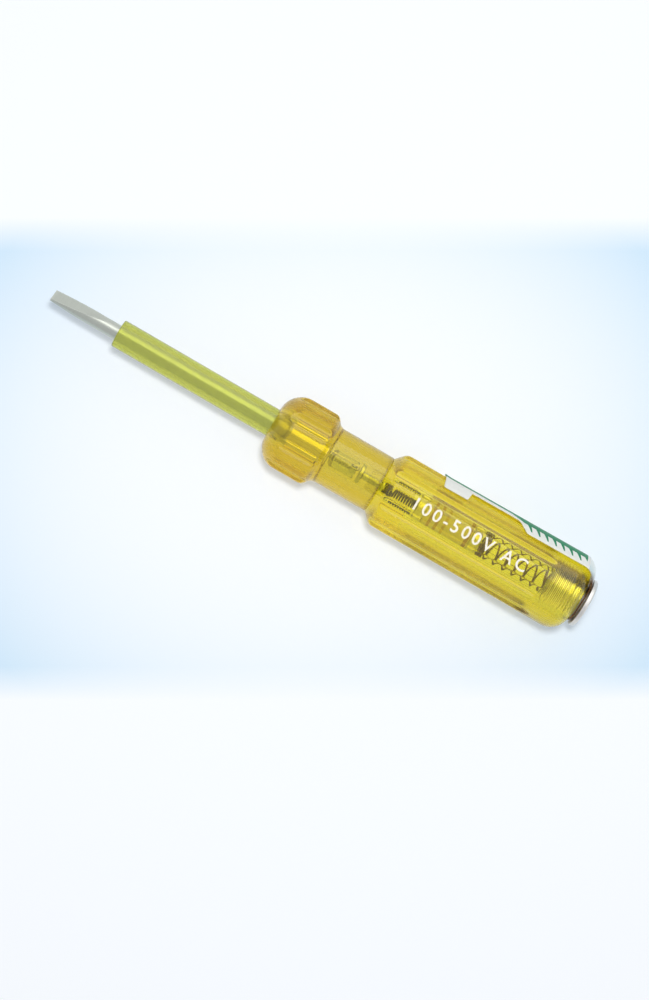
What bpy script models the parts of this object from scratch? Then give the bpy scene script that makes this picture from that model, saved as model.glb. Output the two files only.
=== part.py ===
"""Voltage tester screwdriver: a flat blade in an insulating sleeve, a clear two-part handle that holds a neon lamp,
a resistor and two springs, and a screwed metal end plug that clamps a pocket clip.

The tool lies along X with its tip at -X and its end plug at +X. The pocket clip is on the +Y side, and the flat land
that would carry the marking faces +Z. All sizes are in metres. Every piece is placed by its station, which is its
distance from the blade's tip, under one empty that stands at the tip on the tool's axis.
"""

import math

import bmesh
import bpy

# Clearances
FIT_GAP = 0.0003  # between two pieces that touch on the real tool
CUT_OVERRUN = 0.0005  # how far a cutter reaches past what it cuts
WELD_DISTANCE = 0.000001

# Blade
BLADE_DIAMETER = 0.00335
BLADE_EXPOSED = 0.0159  # bare steel in front of the sleeve
BLADE_TIP_THICKNESS = 0.0005
BLADE_FLAT_LENGTH = 0.0138
BLADE_FLAT_TURN = math.radians(-46)  # roll of the ground flats about the tool's axis

# Insulating sleeve
SLEEVE_WALL = 0.001125
SLEEVE_EXPOSED = 0.0377
SLEEVE_ENTRY = 0.0044  # how far it runs into the collar
SLEEVE_EDGE = 0.0003

# Front handle: a collar that stops the fingers, and a round neck behind it
COLLAR_ACROSS_LANDS = 0.0166
COLLAR_DIAMETER = 0.01688
COLLAR_LENGTH = 0.0140
COLLAR_NOSE_RADIUS = 0.0053
COLLAR_FACE_WIDTH = 0.0005
COLLAR_SHOULDER_LENGTH = 0.0035
NECK_DIAMETER = 0.01272
NECK_LENGTH = 0.0120

# Rear handle
GRIP_ACROSS_LANDS = 0.01684
GRIP_DIAMETER = 0.01712  # over the rounded crests beside each land
GRIP_REAR_DIAMETER = 0.0169  # the plain round end
GRIP_LENGTH = 0.0484
GRIP_SHOULDER_SLOPE = math.radians(45)
GRIP_SHOULDER_ROUND = 0.0023
GRIP_END_ROUND = 0.0041
GRIP_ROUND_LENGTH = 0.0110  # from where the flutes start to run out to the end face
GRIP_TAPER_LENGTH = 0.0035
SPIGOT_LENGTH = 0.0026

# Lands and flutes, the same pattern on the collar and the grip
LANDS = 8
LAND_HALF_ANGLE = math.radians(12.5)
FLUTE_DEPTH = 0.0008
FLUTE_RUNOUT_RADIUS = 0.0100

# Bores
CONTACT_BORE_ROOM = 0.00025  # round the front spring
CONTACT_BORE_REACH = 0.0074  # from the seam to the step into the main bore
THREAD_DIAMETER = 0.0080
THREAD_PITCH = 0.00075
THREAD_RUNOUT = 0.0013  # thread in front of the plug's nose
THREAD_MEAN_SHARE = 0.65  # a metric thread's mean diameter lies this share of its pitch under its size
THREAD_CORE_SHARE = 1.0825  # and its core this share

# Neon lamp
LAMP_DIAMETER = 0.0039
LAMP_LENGTH = 0.0069
LAMP_WALL = 0.00035
LAMP_END_ROUND = 0.0006
LAMP_FRONT_ROOM = 0.0007  # between the blade's end and the glass, where the folded lead crosses
LAMP_REAR_ROOM = 0.0008  # between the glass and the contact, where the lead turns back
LAMP_SEAL_LENGTH = 0.0013
LAMP_GAP = 0.0001  # between the lamp's own pieces
LAMP_SIDE_ROOM = 0.00015  # between the folded lead and the bore
ELECTRODE_DIAMETER = 0.0005
ELECTRODE_LENGTH = 0.0040
ELECTRODE_SPACING = 0.0012
LEAD_DIAMETER = 0.0003
LEAD_BEND_RADIUS = 0.0003
LAMP_TURN = math.radians(68)  # roll of the two electrodes' plane, from +Y

# Contact between the lamp and the front spring
CONTACT_DISC_THICKNESS = 0.0008
CONTACT_STEM_DIAMETER = 0.0017
CONTACT_STEM_LENGTH = 0.0071  # with the head
CONTACT_HEAD_DIAMETER = 0.0027  # that the front spring bears on
CONTACT_HEAD_LENGTH = 0.0008
CONTACT_EDGE = 0.0002
CONTACT_REAR_ROOM = 0.0016  # between the contact's disc and the spigot

# Springs
FRONT_SPRING_DIAMETER = 0.0028
FRONT_SPRING_WIRE = 0.00035
FRONT_SPRING_LENGTH = 0.0055
FRONT_SPRING_PITCH = 0.00077
REAR_SPRING_DIAMETER = 0.0050
REAR_SPRING_WIRE = 0.0005
REAR_SPRING_PITCH = 0.0022
REAR_SPRING_END_PITCH = 0.0009
POINTS_PER_CURL = 10

# Resistor
RESISTOR_LENGTH = 0.0152
RESISTOR_DIAMETER = 0.0046
RESISTOR_CORE_DIAMETER = 0.0036
RESISTOR_EDGE = 0.0003
RESISTOR_CAP_LENGTH = 0.0020
RESISTOR_CAP_DIAMETER = 0.0048
RESISTOR_CAP_WALL = 0.0003
RESISTOR_GAP = 0.0001
RESISTOR_LEAD_DIAMETER = 0.0008
RESISTOR_LEAD_LENGTH = 0.0015

# End plug
PLUG_HEAD_DIAMETER = 0.0108
PLUG_HEAD_THICKNESS = 0.0011
PLUG_HEAD_ROUND = 0.0003
PLUG_SHANK_LENGTH = 0.0078
PLUG_NOSE_CHAMFER = 0.0005
PLUG_SLOT_WIDTH = 0.0013
PLUG_SLOT_DEPTH = 0.0005

# Pocket clip, cut from thin sheet and bent round the handle's end
CLIP_THICKNESS = 0.0003
CLIP_LENGTH = 0.0377  # from the foot's front edge to the end plate
CLIP_FOOT_CLEARANCE = 0.0001  # under the foot, over the grip's crests
CLIP_REAR_RISE = 0.00028  # how much further out the arm stands at its bend
CLIP_WIDTH = 0.0136
CLIP_WAIST_WIDTH = 0.0076
CLIP_FOOT_LENGTH = 0.0062
CLIP_FOOT_SLANT = 0.0005
CLIP_STEP_LENGTH = 0.0005
CLIP_WAIST_LENGTH = 0.0108
CLIP_FLARE_LENGTH = 0.0034
CLIP_BEND_RADIUS = 0.0034
CLIP_RING_DIAMETER = 0.0100
CLIP_COLUMNS = 12

# Facets
ROUND_SIDES = 64
SMALL_SIDES = 24
LEAD_SIDES = 12
ARC_STEPS = 6
FLUTE_STEPS = 6
SMOOTH_ANGLE = math.radians(30)

# Stations along the axis, from the blade's tip
SLEEVE_STATION = BLADE_EXPOSED
COLLAR_STATION = SLEEVE_STATION + SLEEVE_EXPOSED
NECK_STATION = COLLAR_STATION + COLLAR_LENGTH
SEAM_STATION = NECK_STATION + NECK_LENGTH
GRIP_END_STATION = SEAM_STATION + GRIP_LENGTH
CLIP_PLATE_STATION = GRIP_END_STATION + FIT_GAP
PLUG_HEAD_STATION = CLIP_PLATE_STATION + CLIP_THICKNESS + FIT_GAP
OVERALL_LENGTH = PLUG_HEAD_STATION + PLUG_HEAD_THICKNESS
PLUG_NOSE_STATION = PLUG_HEAD_STATION - PLUG_SHANK_LENGTH

# The contact stands in front of the spigot, the lamp and the blade's end in front of it, and the springs and the
# resistor follow behind its stem
SPIGOT_STATION = SEAM_STATION - SPIGOT_LENGTH
CONTACT_DISC_STATION = SPIGOT_STATION - CONTACT_REAR_ROOM - CONTACT_DISC_THICKNESS
LAMP_REAR_STATION = CONTACT_DISC_STATION - LAMP_REAR_ROOM
LAMP_STATION = LAMP_REAR_STATION - LAMP_LENGTH
BLADE_END_STATION = LAMP_STATION - LAMP_FRONT_ROOM
CONTACT_END_STATION = CONTACT_DISC_STATION + CONTACT_DISC_THICKNESS + CONTACT_STEM_LENGTH
FRONT_SPRING_STATION = CONTACT_END_STATION + FIT_GAP
RESISTOR_STATION = FRONT_SPRING_STATION + FRONT_SPRING_LENGTH + FIT_GAP
REAR_SPRING_STATION = RESISTOR_STATION + RESISTOR_LENGTH + FIT_GAP
REAR_SPRING_LENGTH = PLUG_NOSE_STATION - FIT_GAP - REAR_SPRING_STATION

# Bores and what runs in them
BLADE_BORE_RADIUS = BLADE_DIAMETER / 2 + FIT_GAP
SLEEVE_RADIUS = BLADE_BORE_RADIUS + SLEEVE_WALL
SLEEVE_BORE_RADIUS = SLEEVE_RADIUS + FIT_GAP
LEAD_RIDE_HEIGHT = (LAMP_DIAMETER + LEAD_DIAMETER) / 2 + LAMP_GAP
LAMP_BORE_RADIUS = LEAD_RIDE_HEIGHT + LEAD_DIAMETER / 2 + LAMP_SIDE_ROOM
CONTACT_BORE_RADIUS = FRONT_SPRING_DIAMETER / 2 + CONTACT_BORE_ROOM
MAIN_BORE_RADIUS = (THREAD_DIAMETER - THREAD_CORE_SHARE * THREAD_PITCH) / 2
THREAD_MEAN_RADIUS = (THREAD_DIAMETER - THREAD_MEAN_SHARE * THREAD_PITCH) / 2
PLUG_SHANK_RADIUS = THREAD_MEAN_RADIUS - FIT_GAP / 2
THREAD_BORE_RADIUS = THREAD_MEAN_RADIUS + FIT_GAP / 2

# The clip follows the grip's crests and ends in a ring round the plug's shank
CLIP_FOOT_RADIUS = GRIP_DIAMETER / 2 + CLIP_FOOT_CLEARANCE
CLIP_REAR_RADIUS = CLIP_FOOT_RADIUS + CLIP_REAR_RISE
CLIP_HOLE_RADIUS = PLUG_SHANK_RADIUS + FIT_GAP

# The tool's axis, so that the handle touches the ground and the box is centred on the origin
AXIS_HEIGHT = max(GRIP_REAR_DIAMETER, GRIP_ACROSS_LANDS, COLLAR_ACROSS_LANDS) / 2
AXIS_OFFSET = (AXIS_HEIGHT - CLIP_REAR_RADIUS - CLIP_THICKNESS) / 2

# Finishes: sRGB colour, metallic, roughness and transmission
STEEL = ("#B9BCB0", 1.0, 0.30, 0.0)
CLEAR_SLEEVE = ("#B9C44E", 0.0, 0.20, 0.6)
CLEAR_AMBER = ("#D8B93A", 0.0, 0.12, 0.7)
GLASS = ("#EEF2EA", 0.0, 0.05, 0.9)
NICKEL = ("#C9C6BC", 1.0, 0.30, 0.0)
BRASS = ("#B79A52", 1.0, 0.30, 0.0)
DARK_SPRING = ("#4E4028", 1.0, 0.40, 0.0)
RESISTOR_COAT = ("#A9743F", 0.0, 0.45, 0.0)
ENAMELLED_SHEET = ("#D9DBD3", 0.6, 0.35, 0.0)


def clear_scene():
    for old in list(bpy.data.objects):
        bpy.data.objects.remove(old)


def linear(hex_colour):
    """The linear RGBA value of an sRGB hex colour."""
    channels = [int(hex_colour[i : i + 2], 16) / 255 for i in (1, 3, 5)]
    return [c / 12.92 if c <= 0.04045 else ((c + 0.055) / 1.055) ** 2.4 for c in channels] + [1]


def material(name, finish):
    colour, metallic, roughness, transmission = finish
    made = bpy.data.materials.new(name)
    made.use_nodes = True
    shader = made.node_tree.nodes["Principled BSDF"]
    shader.inputs["Base Color"].default_value = linear(colour)
    shader.inputs["Metallic"].default_value = metallic
    shader.inputs["Roughness"].default_value = roughness
    shader.inputs["Transmission Weight"].default_value = transmission
    made.diffuse_color = linear(colour)
    return made


def place(piece, station, finish):
    """Parents a piece to the tool's axis at its station and gives it its own material."""
    bpy.context.scene.collection.objects.link(piece)
    piece.parent = bpy.data.objects["tool_axis"]
    piece.location.x = station
    if finish:
        piece.data.materials.append(material(piece.name, finish))
    return piece


def from_bmesh(name, shape, station, finish):
    mesh = bpy.data.meshes.new(name)
    shape.to_mesh(mesh)
    shape.free()
    mesh.shade_smooth()
    mesh.set_sharp_from_angle(angle=SMOOTH_ANGLE)
    return place(bpy.data.objects.new(name, mesh), station, finish)


def as_cutter(piece):
    piece.hide_render = True
    piece.display_type = "WIRE"
    return piece


def combine(piece, other, operation):
    boolean = piece.modifiers.new(other.name, "BOOLEAN")
    boolean.operation = operation
    boolean.object = other
    boolean.solver = "EXACT"


def turned(name, station, outline, finish, sides=ROUND_SIDES, ring=False):
    """A turned solid. The outline's (distance, radius) points start and end on the axis, or close on themselves
    where ring is true."""
    shape = bmesh.new()
    points = [shape.verts.new((distance, 0, radius)) for distance, radius in outline]
    pairs = list(zip(points, points[1:]))
    if ring:
        pairs.append((points[-1], points[0]))
    edges = [shape.edges.new(pair) for pair in pairs]
    bmesh.ops.spin(
        shape, geom=points + edges, cent=(0, 0, 0), axis=(1, 0, 0), angle=math.tau, steps=sides, use_duplicate=False
    )
    bmesh.ops.remove_doubles(shape, verts=shape.verts, dist=WELD_DISTANCE)
    bmesh.ops.recalc_face_normals(shape, faces=shape.faces)
    return from_bmesh(name, shape, station, finish)


def arc(centre, radius, start, end, steps=ARC_STEPS):
    """Points of an arc in an outline, from one angle to another. Angle 0 points along the axis to the rear."""
    distance, height = centre
    angles = [start + (end - start) * i / steps for i in range(steps + 1)]
    return [(distance + radius * math.cos(a), height + radius * math.sin(a)) for a in angles]


def ogee(start, end, steps=ARC_STEPS):
    """An S-shaped step of two equal arcs, which leaves and arrives along the axis."""
    run, rise = end[0] - start[0], end[1] - start[1]
    if rise == 0:
        return [start, end]
    radius = (run**2 + rise**2) / (4 * abs(rise))
    points = []
    for i in range(steps + 1):
        along = run * i / steps
        near = min(along, run - along)
        drop = radius - math.sqrt(radius**2 - near**2)
        share = drop if along <= run / 2 else abs(rise) - drop
        points.append((start[0] + along, start[1] + math.copysign(share, rise)))
    return points


def round_corner(distance, height, radius, steps=ARC_STEPS):
    """The quarter round between an outer surface of this height and the rear face at this distance."""
    return arc((distance - radius, height - radius), radius, math.pi / 2, 0, steps)


def fluted_section(across_lands, rise):
    """The outline of the lands and flutes, seen along the axis and moved outwards by rise."""
    crest = across_lands / 2 / math.cos(LAND_HALF_ANGLE)
    flute_half_angle = math.pi / LANDS - LAND_HALF_ANGLE
    half_chord = crest * math.sin(flute_half_angle)
    sagitta = FLUTE_DEPTH - crest * (1 - math.cos(flute_half_angle))
    flute_radius = (half_chord**2 + sagitta**2) / (2 * sagitta)
    sweep = math.atan2(half_chord, flute_radius - sagitta)
    flute_centre = crest - FLUTE_DEPTH + flute_radius
    points = []
    for land in range(LANDS):
        middle = (land + 0.5) * math.tau / LANDS
        for step in range(FLUTE_STEPS + 1):
            turn = sweep * (2 * step / FLUTE_STEPS - 1)
            outwards = flute_centre - flute_radius * math.cos(turn)
            sideways = flute_radius * math.sin(turn)
            reach = math.hypot(outwards, sideways) + rise
            angle = middle + math.atan2(sideways, outwards)
            points.append((reach * math.cos(angle), reach * math.sin(angle)))
    return points


def fluted_bar(name, station, across_lands, rises):
    """A bar of the fluted section, whose (distance, rise) list moves the section outwards where the flutes run out."""
    shape = bmesh.new()
    rings = []
    for distance, rise in rises:
        section = fluted_section(across_lands, rise)
        rings.append([shape.verts.new((distance, y, z)) for y, z in section])
    count = len(rings[0])
    for near, far in zip(rings, rings[1:]):
        for i in range(count):
            j = (i + 1) % count
            shape.faces.new((near[i], near[j], far[j], far[i]))
    shape.faces.new(rings[0])
    shape.faces.new(rings[-1])
    bmesh.ops.recalc_face_normals(shape, faces=shape.faces)
    return as_cutter(from_bmesh(name, shape, station, None))


def box_cutter(name, station, low, high):
    shape = bmesh.new()
    bmesh.ops.create_cube(shape, size=1)
    for vert in shape.verts:
        vert.co = [low[i] if vert.co[i] < 0 else high[i] for i in range(3)]
    return as_cutter(from_bmesh(name, shape, station, None))


def wire(name, points, diameter, station, finish, roundness):
    """A round wire along the points, with flat ends."""
    curve = bpy.data.curves.new(name, "CURVE")
    curve.dimensions = "3D"
    curve.bevel_depth = diameter / 2
    curve.bevel_resolution = roundness
    curve.use_fill_caps = True
    spline = curve.splines.new("POLY")
    spline.points.add(len(points) - 1)
    for target, point in zip(spline.points, points):
        target.co = (*point, 1)
    return place(bpy.data.objects.new(name, curve), station, finish)


def make_blade():
    radius = BLADE_DIAMETER / 2
    outline = [(0, 0), (0, radius), (BLADE_END_STATION, radius), (BLADE_END_STATION, 0)]
    blade = turned("blade", 0, outline, STEEL, sides=SMALL_SIDES * 2)
    # Two wedges grind the rod down to the tip's thickness.
    slope = (radius - BLADE_TIP_THICKNESS / 2) / BLADE_FLAT_LENGTH
    front = BLADE_TIP_THICKNESS / 2 - slope * CUT_OVERRUN
    rear = BLADE_FLAT_LENGTH + CUT_OVERRUN
    top = radius + slope * CUT_OVERRUN
    shape = bmesh.new()
    for side in (1, -1):
        profile = [(-CUT_OVERRUN, front), (rear, top), (rear, 2 * radius), (-CUT_OVERRUN, 2 * radius)]
        near = [shape.verts.new((x, -2 * radius, side * z)) for x, z in profile]
        far = [shape.verts.new((x, 2 * radius, side * z)) for x, z in profile]
        shape.faces.new(near)
        shape.faces.new(far)
        for i in range(len(profile)):
            j = (i + 1) % len(profile)
            shape.faces.new((near[i], near[j], far[j], far[i]))
    bmesh.ops.recalc_face_normals(shape, faces=shape.faces)
    wedges = as_cutter(from_bmesh("blade_grinding", shape, 0, None))
    combine(blade, wedges, "DIFFERENCE")
    for piece in (blade, wedges):
        piece.rotation_euler.x = BLADE_FLAT_TURN


def make_sleeve():
    inner, outer = BLADE_BORE_RADIUS, SLEEVE_RADIUS
    length = SLEEVE_EXPOSED + SLEEVE_ENTRY
    outline = [
        (0, inner),
        (0, outer - SLEEVE_EDGE),
        (SLEEVE_EDGE, outer),
        (length - SLEEVE_EDGE, outer),
        (length, outer - SLEEVE_EDGE),
        (length, inner),
    ]
    turned("blade_sleeve", SLEEVE_STATION, outline, CLEAR_SLEEVE, sides=SMALL_SIDES * 2, ring=True)


def make_front_handle():
    blank = COLLAR_DIAMETER / 2
    neck = NECK_DIAMETER / 2
    face_edge = max(SLEEVE_BORE_RADIUS + COLLAR_FACE_WIDTH, blank - COLLAR_NOSE_RADIUS)
    start = math.asin((face_edge - blank + COLLAR_NOSE_RADIUS) / COLLAR_NOSE_RADIUS)
    nose_centre = (COLLAR_NOSE_RADIUS * math.cos(start), blank - COLLAR_NOSE_RADIUS)
    shoulder_end = NECK_STATION - COLLAR_STATION
    seam = SEAM_STATION - COLLAR_STATION
    sleeve_stop = SLEEVE_ENTRY + FIT_GAP
    lamp_bore = BLADE_END_STATION - COLLAR_STATION
    outline = arc(nose_centre, COLLAR_NOSE_RADIUS, math.pi - start, math.pi / 2, steps=2 * ARC_STEPS)
    outline += ogee((shoulder_end - COLLAR_SHOULDER_LENGTH, blank), (shoulder_end, neck), steps=2 * ARC_STEPS)
    outline += [
        (seam, neck),
        (seam, LAMP_BORE_RADIUS),
        (lamp_bore, LAMP_BORE_RADIUS),
        (lamp_bore, BLADE_BORE_RADIUS),
        (sleeve_stop, BLADE_BORE_RADIUS),
        (sleeve_stop, SLEEVE_BORE_RADIUS),
        (0, SLEEVE_BORE_RADIUS),
    ]
    handle = turned("front_handle", COLLAR_STATION, outline, CLEAR_AMBER, ring=True)
    rises = [(-CUT_OVERRUN, 0), (seam + CUT_OVERRUN, 0)]
    flutes = fluted_bar("collar_flutes", COLLAR_STATION, COLLAR_ACROSS_LANDS, rises)
    combine(handle, flutes, "INTERSECT")


def runout_rises(length):
    """Where a round milling cutter of the run-out radius leaves the work: the flutes' rise along this length."""
    steps = [length * i / ARC_STEPS for i in range(ARC_STEPS + 1)]
    return [(d, FLUTE_RUNOUT_RADIUS - math.sqrt(FLUTE_RUNOUT_RADIUS**2 - d**2)) for d in steps]


def make_rear_handle():
    blank = GRIP_DIAMETER / 2
    rear = GRIP_REAR_DIAMETER / 2
    neck = NECK_DIAMETER / 2
    front = SEAM_STATION + FIT_GAP - SPIGOT_STATION
    end = GRIP_END_STATION - SPIGOT_STATION
    # The shoulder is a cone that a round joins to the grip.
    shoulder_round = min(GRIP_SHOULDER_ROUND, (blank - neck) / (1 - math.cos(GRIP_SHOULDER_SLOPE)))
    round_run = shoulder_round * math.sin(GRIP_SHOULDER_SLOPE)
    round_rise = shoulder_round * (1 - math.cos(GRIP_SHOULDER_SLOPE))
    cone_run = (blank - neck - round_rise) / math.tan(GRIP_SHOULDER_SLOPE)
    round_centre = (front + cone_run + round_run, blank - shoulder_round)
    shoulder = arc(round_centre, shoulder_round, math.pi / 2 + GRIP_SHOULDER_SLOPE, math.pi / 2)
    taper = end - GRIP_ROUND_LENGTH
    contact_step = CONTACT_BORE_REACH + SPIGOT_LENGTH
    thread_step = PLUG_NOSE_STATION - THREAD_RUNOUT - SPIGOT_STATION
    spigot = LAMP_BORE_RADIUS - FIT_GAP
    outline = [(0, CONTACT_BORE_RADIUS), (0, spigot), (front, spigot), (front, neck)]
    outline += shoulder
    outline += ogee((taper, blank), (taper + GRIP_TAPER_LENGTH, rear), steps=4)
    outline += round_corner(end, rear, min(GRIP_END_ROUND, rear - THREAD_BORE_RADIUS - FIT_GAP), steps=2 * ARC_STEPS)
    outline += [
        (end, THREAD_BORE_RADIUS),
        (thread_step, THREAD_BORE_RADIUS),
        (thread_step, MAIN_BORE_RADIUS),
        (contact_step, MAIN_BORE_RADIUS),
        (contact_step, CONTACT_BORE_RADIUS),
    ]
    handle = turned("rear_handle", SPIGOT_STATION, outline, CLEAR_AMBER, ring=True)
    # The flutes are out of the work once they have risen by their depth.
    clear_rise = FLUTE_DEPTH + CUT_OVERRUN
    clear_run = math.sqrt(FLUTE_RUNOUT_RADIUS**2 - (FLUTE_RUNOUT_RADIUS - clear_rise) ** 2)
    rises = [(-CUT_OVERRUN, 0)]
    rises += [(taper + d, rise) for d, rise in runout_rises(clear_run)]
    rises.append((end + CUT_OVERRUN, clear_rise))
    flutes = fluted_bar("grip_flutes", SPIGOT_STATION, GRIP_ACROSS_LANDS, rises)
    combine(handle, flutes, "INTERSECT")


def make_lamp():
    radius = LAMP_DIAMETER / 2
    inner = radius - LAMP_WALL
    glass = [(LAMP_WALL, 0), (LAMP_WALL, inner), (LAMP_LENGTH, inner), (LAMP_LENGTH, radius)]
    corner = arc((LAMP_END_ROUND, radius - LAMP_END_ROUND), LAMP_END_ROUND, math.pi / 2, math.pi, steps=3)
    turned("lamp_glass", LAMP_STATION, glass + corner + [(0, 0)], GLASS, sides=SMALL_SIDES)

    seal_radius = inner - LAMP_GAP
    seal_station = LAMP_REAR_STATION - LAMP_SEAL_LENGTH
    seal_outline = [(0, 0), (0, seal_radius), (LAMP_SEAL_LENGTH, seal_radius), (LAMP_SEAL_LENGTH, 0)]
    seal = turned("lamp_seal", seal_station, seal_outline, GLASS, sides=SMALL_SIDES)
    out = (math.cos(LAMP_TURN), math.sin(LAMP_TURN))
    for side, side_name in ((1, "upper"), (-1, "lower")):
        y, z = (side * ELECTRODE_SPACING / 2 * share for share in out)
        hole = LEAD_DIAMETER / 2 + LAMP_GAP
        bore = [(-CUT_OVERRUN, 0), (-CUT_OVERRUN, hole), (LAMP_SEAL_LENGTH + CUT_OVERRUN, hole)]
        bore.append((LAMP_SEAL_LENGTH + CUT_OVERRUN, 0))
        cutter = as_cutter(turned(f"seal_hole_{side_name}", seal_station, bore, None, sides=LEAD_SIDES))
        cutter.location.y, cutter.location.z = y, z
        combine(seal, cutter, "DIFFERENCE")
        electrode_radius = ELECTRODE_DIAMETER / 2
        rod = [(0, 0), (0, electrode_radius), (ELECTRODE_LENGTH, electrode_radius), (ELECTRODE_LENGTH, 0)]
        station = seal_station - LAMP_GAP - ELECTRODE_LENGTH
        electrode = turned(f"lamp_electrode_{side_name}", station, rod, NICKEL, sides=LEAD_SIDES)
        electrode.location.y, electrode.location.z = y, z

    # One lead runs straight back to the contact, and the other folds forward beside the glass to the blade.
    lead_start = seal_station
    offset = ELECTRODE_SPACING / 2
    rear_lead = [(0, -offset), (CONTACT_DISC_STATION - LEAD_DIAMETER / 2 - lead_start, -offset)]
    turn_back = LAMP_REAR_STATION + LAMP_REAR_ROOM / 2 - lead_start
    cross_over = BLADE_END_STATION + LAMP_FRONT_ROOM / 2 - lead_start
    folded_lead = bent(
        [
            (0, offset),
            (turn_back, offset),
            (turn_back, LEAD_RIDE_HEIGHT),
            (cross_over, LEAD_RIDE_HEIGHT),
            (cross_over, 0),
        ]
    )
    for name, path in (("lamp_lead_rear", rear_lead), ("lamp_lead_front", folded_lead)):
        points = [(distance, height * out[0], height * out[1]) for distance, height in path]
        wire(name, points, LEAD_DIAMETER, lead_start, NICKEL, roundness=2)


def bent(corners):
    """A path through square corners, each turned into a bend of three points."""
    path = [corners[0]]
    for before, corner, after in zip(corners, corners[1:], corners[2:]):
        ends = []
        for other in (before, after):
            reach = math.dist(corner, other)
            ends.append([c + (o - c) * LEAD_BEND_RADIUS / reach for c, o in zip(corner, other)])
        centre = [a + b - c for a, b, c in zip(*ends, corner)]
        middle = [m + (c - m) * (1 - math.sqrt(0.5)) for m, c in zip(corner, centre)]
        path += [ends[0], middle, ends[1]]
    return path + [corners[-1]]


def make_contact():
    disc = LAMP_BORE_RADIUS - FIT_GAP
    stem = CONTACT_STEM_DIAMETER / 2
    head = CONTACT_HEAD_DIAMETER / 2
    end = CONTACT_DISC_THICKNESS + CONTACT_STEM_LENGTH
    outline = [
        (0, 0),
        (0, disc - CONTACT_EDGE),
        (CONTACT_EDGE, disc),
        (CONTACT_DISC_THICKNESS, disc),
        (CONTACT_DISC_THICKNESS, stem),
        (end - CONTACT_HEAD_LENGTH, stem),
        (end - CONTACT_HEAD_LENGTH, head),
        (end - CONTACT_EDGE, head),
        (end, head - CONTACT_EDGE),
        (end, 0),
    ]
    turned("lamp_contact", CONTACT_DISC_STATION, outline, BRASS, sides=SMALL_SIDES)


def spring(name, station, length, diameter, wire_diameter, pitch, end_pitch):
    """A compression spring with one closer curl at each end. The wire's last bit turns along the axis and meets
    what the spring bears on."""
    radius = (diameter - wire_diameter) / 2
    span = length - 2 * wire_diameter
    curls = 2 + (span - 2 * end_pitch) / pitch
    count = math.ceil(curls * POINTS_PER_CURL)
    points = []
    for i in range(count + 1):
        turn = curls * i / count
        middle = min(max(turn - 1, 0), curls - 2)
        distance = wire_diameter + middle * pitch + (turn - middle) * end_pitch
        angle = turn * math.tau
        points.append((distance, radius * math.cos(angle), radius * math.sin(angle)))
    first, last = points[0], points[-1]
    points = [(0, first[1], first[2]), *points, (length, last[1], last[2])]
    gaps = [
        math.dist(a, b) - wire_diameter
        for i, a in enumerate(points)
        for b in points[i + POINTS_PER_CURL // 2 :]
    ]
    print(f"{name}: {curls:.1f} curls, least gap to itself {min(gaps) * 1000:.2f} mm")
    wire(name, points, wire_diameter, station, DARK_SPRING, roundness=1)


def make_springs():
    spring(
        "front_spring",
        FRONT_SPRING_STATION,
        FRONT_SPRING_LENGTH,
        FRONT_SPRING_DIAMETER,
        FRONT_SPRING_WIRE,
        FRONT_SPRING_PITCH,
        FRONT_SPRING_PITCH,
    )
    spring(
        "rear_spring",
        REAR_SPRING_STATION,
        REAR_SPRING_LENGTH,
        REAR_SPRING_DIAMETER,
        REAR_SPRING_WIRE,
        REAR_SPRING_PITCH,
        REAR_SPRING_END_PITCH,
    )


def make_resistor():
    core = RESISTOR_CORE_DIAMETER / 2
    body = RESISTOR_DIAMETER / 2
    cap = RESISTOR_CAP_DIAMETER / 2
    cup = cap - RESISTOR_CAP_WALL
    core_front = RESISTOR_CAP_WALL + RESISTOR_GAP
    body_front = RESISTOR_CAP_LENGTH + RESISTOR_GAP
    outline = [(core_front, 0), (core_front, core), (body_front, core)]
    outline += [(body_front, body - RESISTOR_EDGE), (body_front + RESISTOR_EDGE, body)]
    outline += [(RESISTOR_LENGTH - distance, radius) for distance, radius in reversed(outline)]
    turned("resistor_body", RESISTOR_STATION, outline, RESISTOR_COAT, sides=SMALL_SIDES)
    for side, end in ((1, "front"), (-1, "rear")):
        outer_end = RESISTOR_STATION if side > 0 else RESISTOR_STATION + RESISTOR_LENGTH
        shell = [
            (0, 0),
            (0, cap - RESISTOR_CAP_WALL / 2),
            (RESISTOR_CAP_WALL / 2, cap),
            (RESISTOR_CAP_LENGTH, cap),
            (RESISTOR_CAP_LENGTH, cup),
            (RESISTOR_CAP_WALL, cup),
            (RESISTOR_CAP_WALL, 0),
        ]
        shell = [(side * distance, radius) for distance, radius in shell]
        turned(f"resistor_cap_{end}", outer_end, shell, NICKEL, sides=SMALL_SIDES)
        lead = RESISTOR_LEAD_DIAMETER / 2
        near, far = -RESISTOR_GAP * side, -(RESISTOR_GAP + RESISTOR_LEAD_LENGTH) * side
        stub = [(near, 0), (near, lead), (far, lead), (far, 0)]
        turned(f"resistor_lead_{end}", outer_end, stub, NICKEL, sides=LEAD_SIDES)


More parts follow.
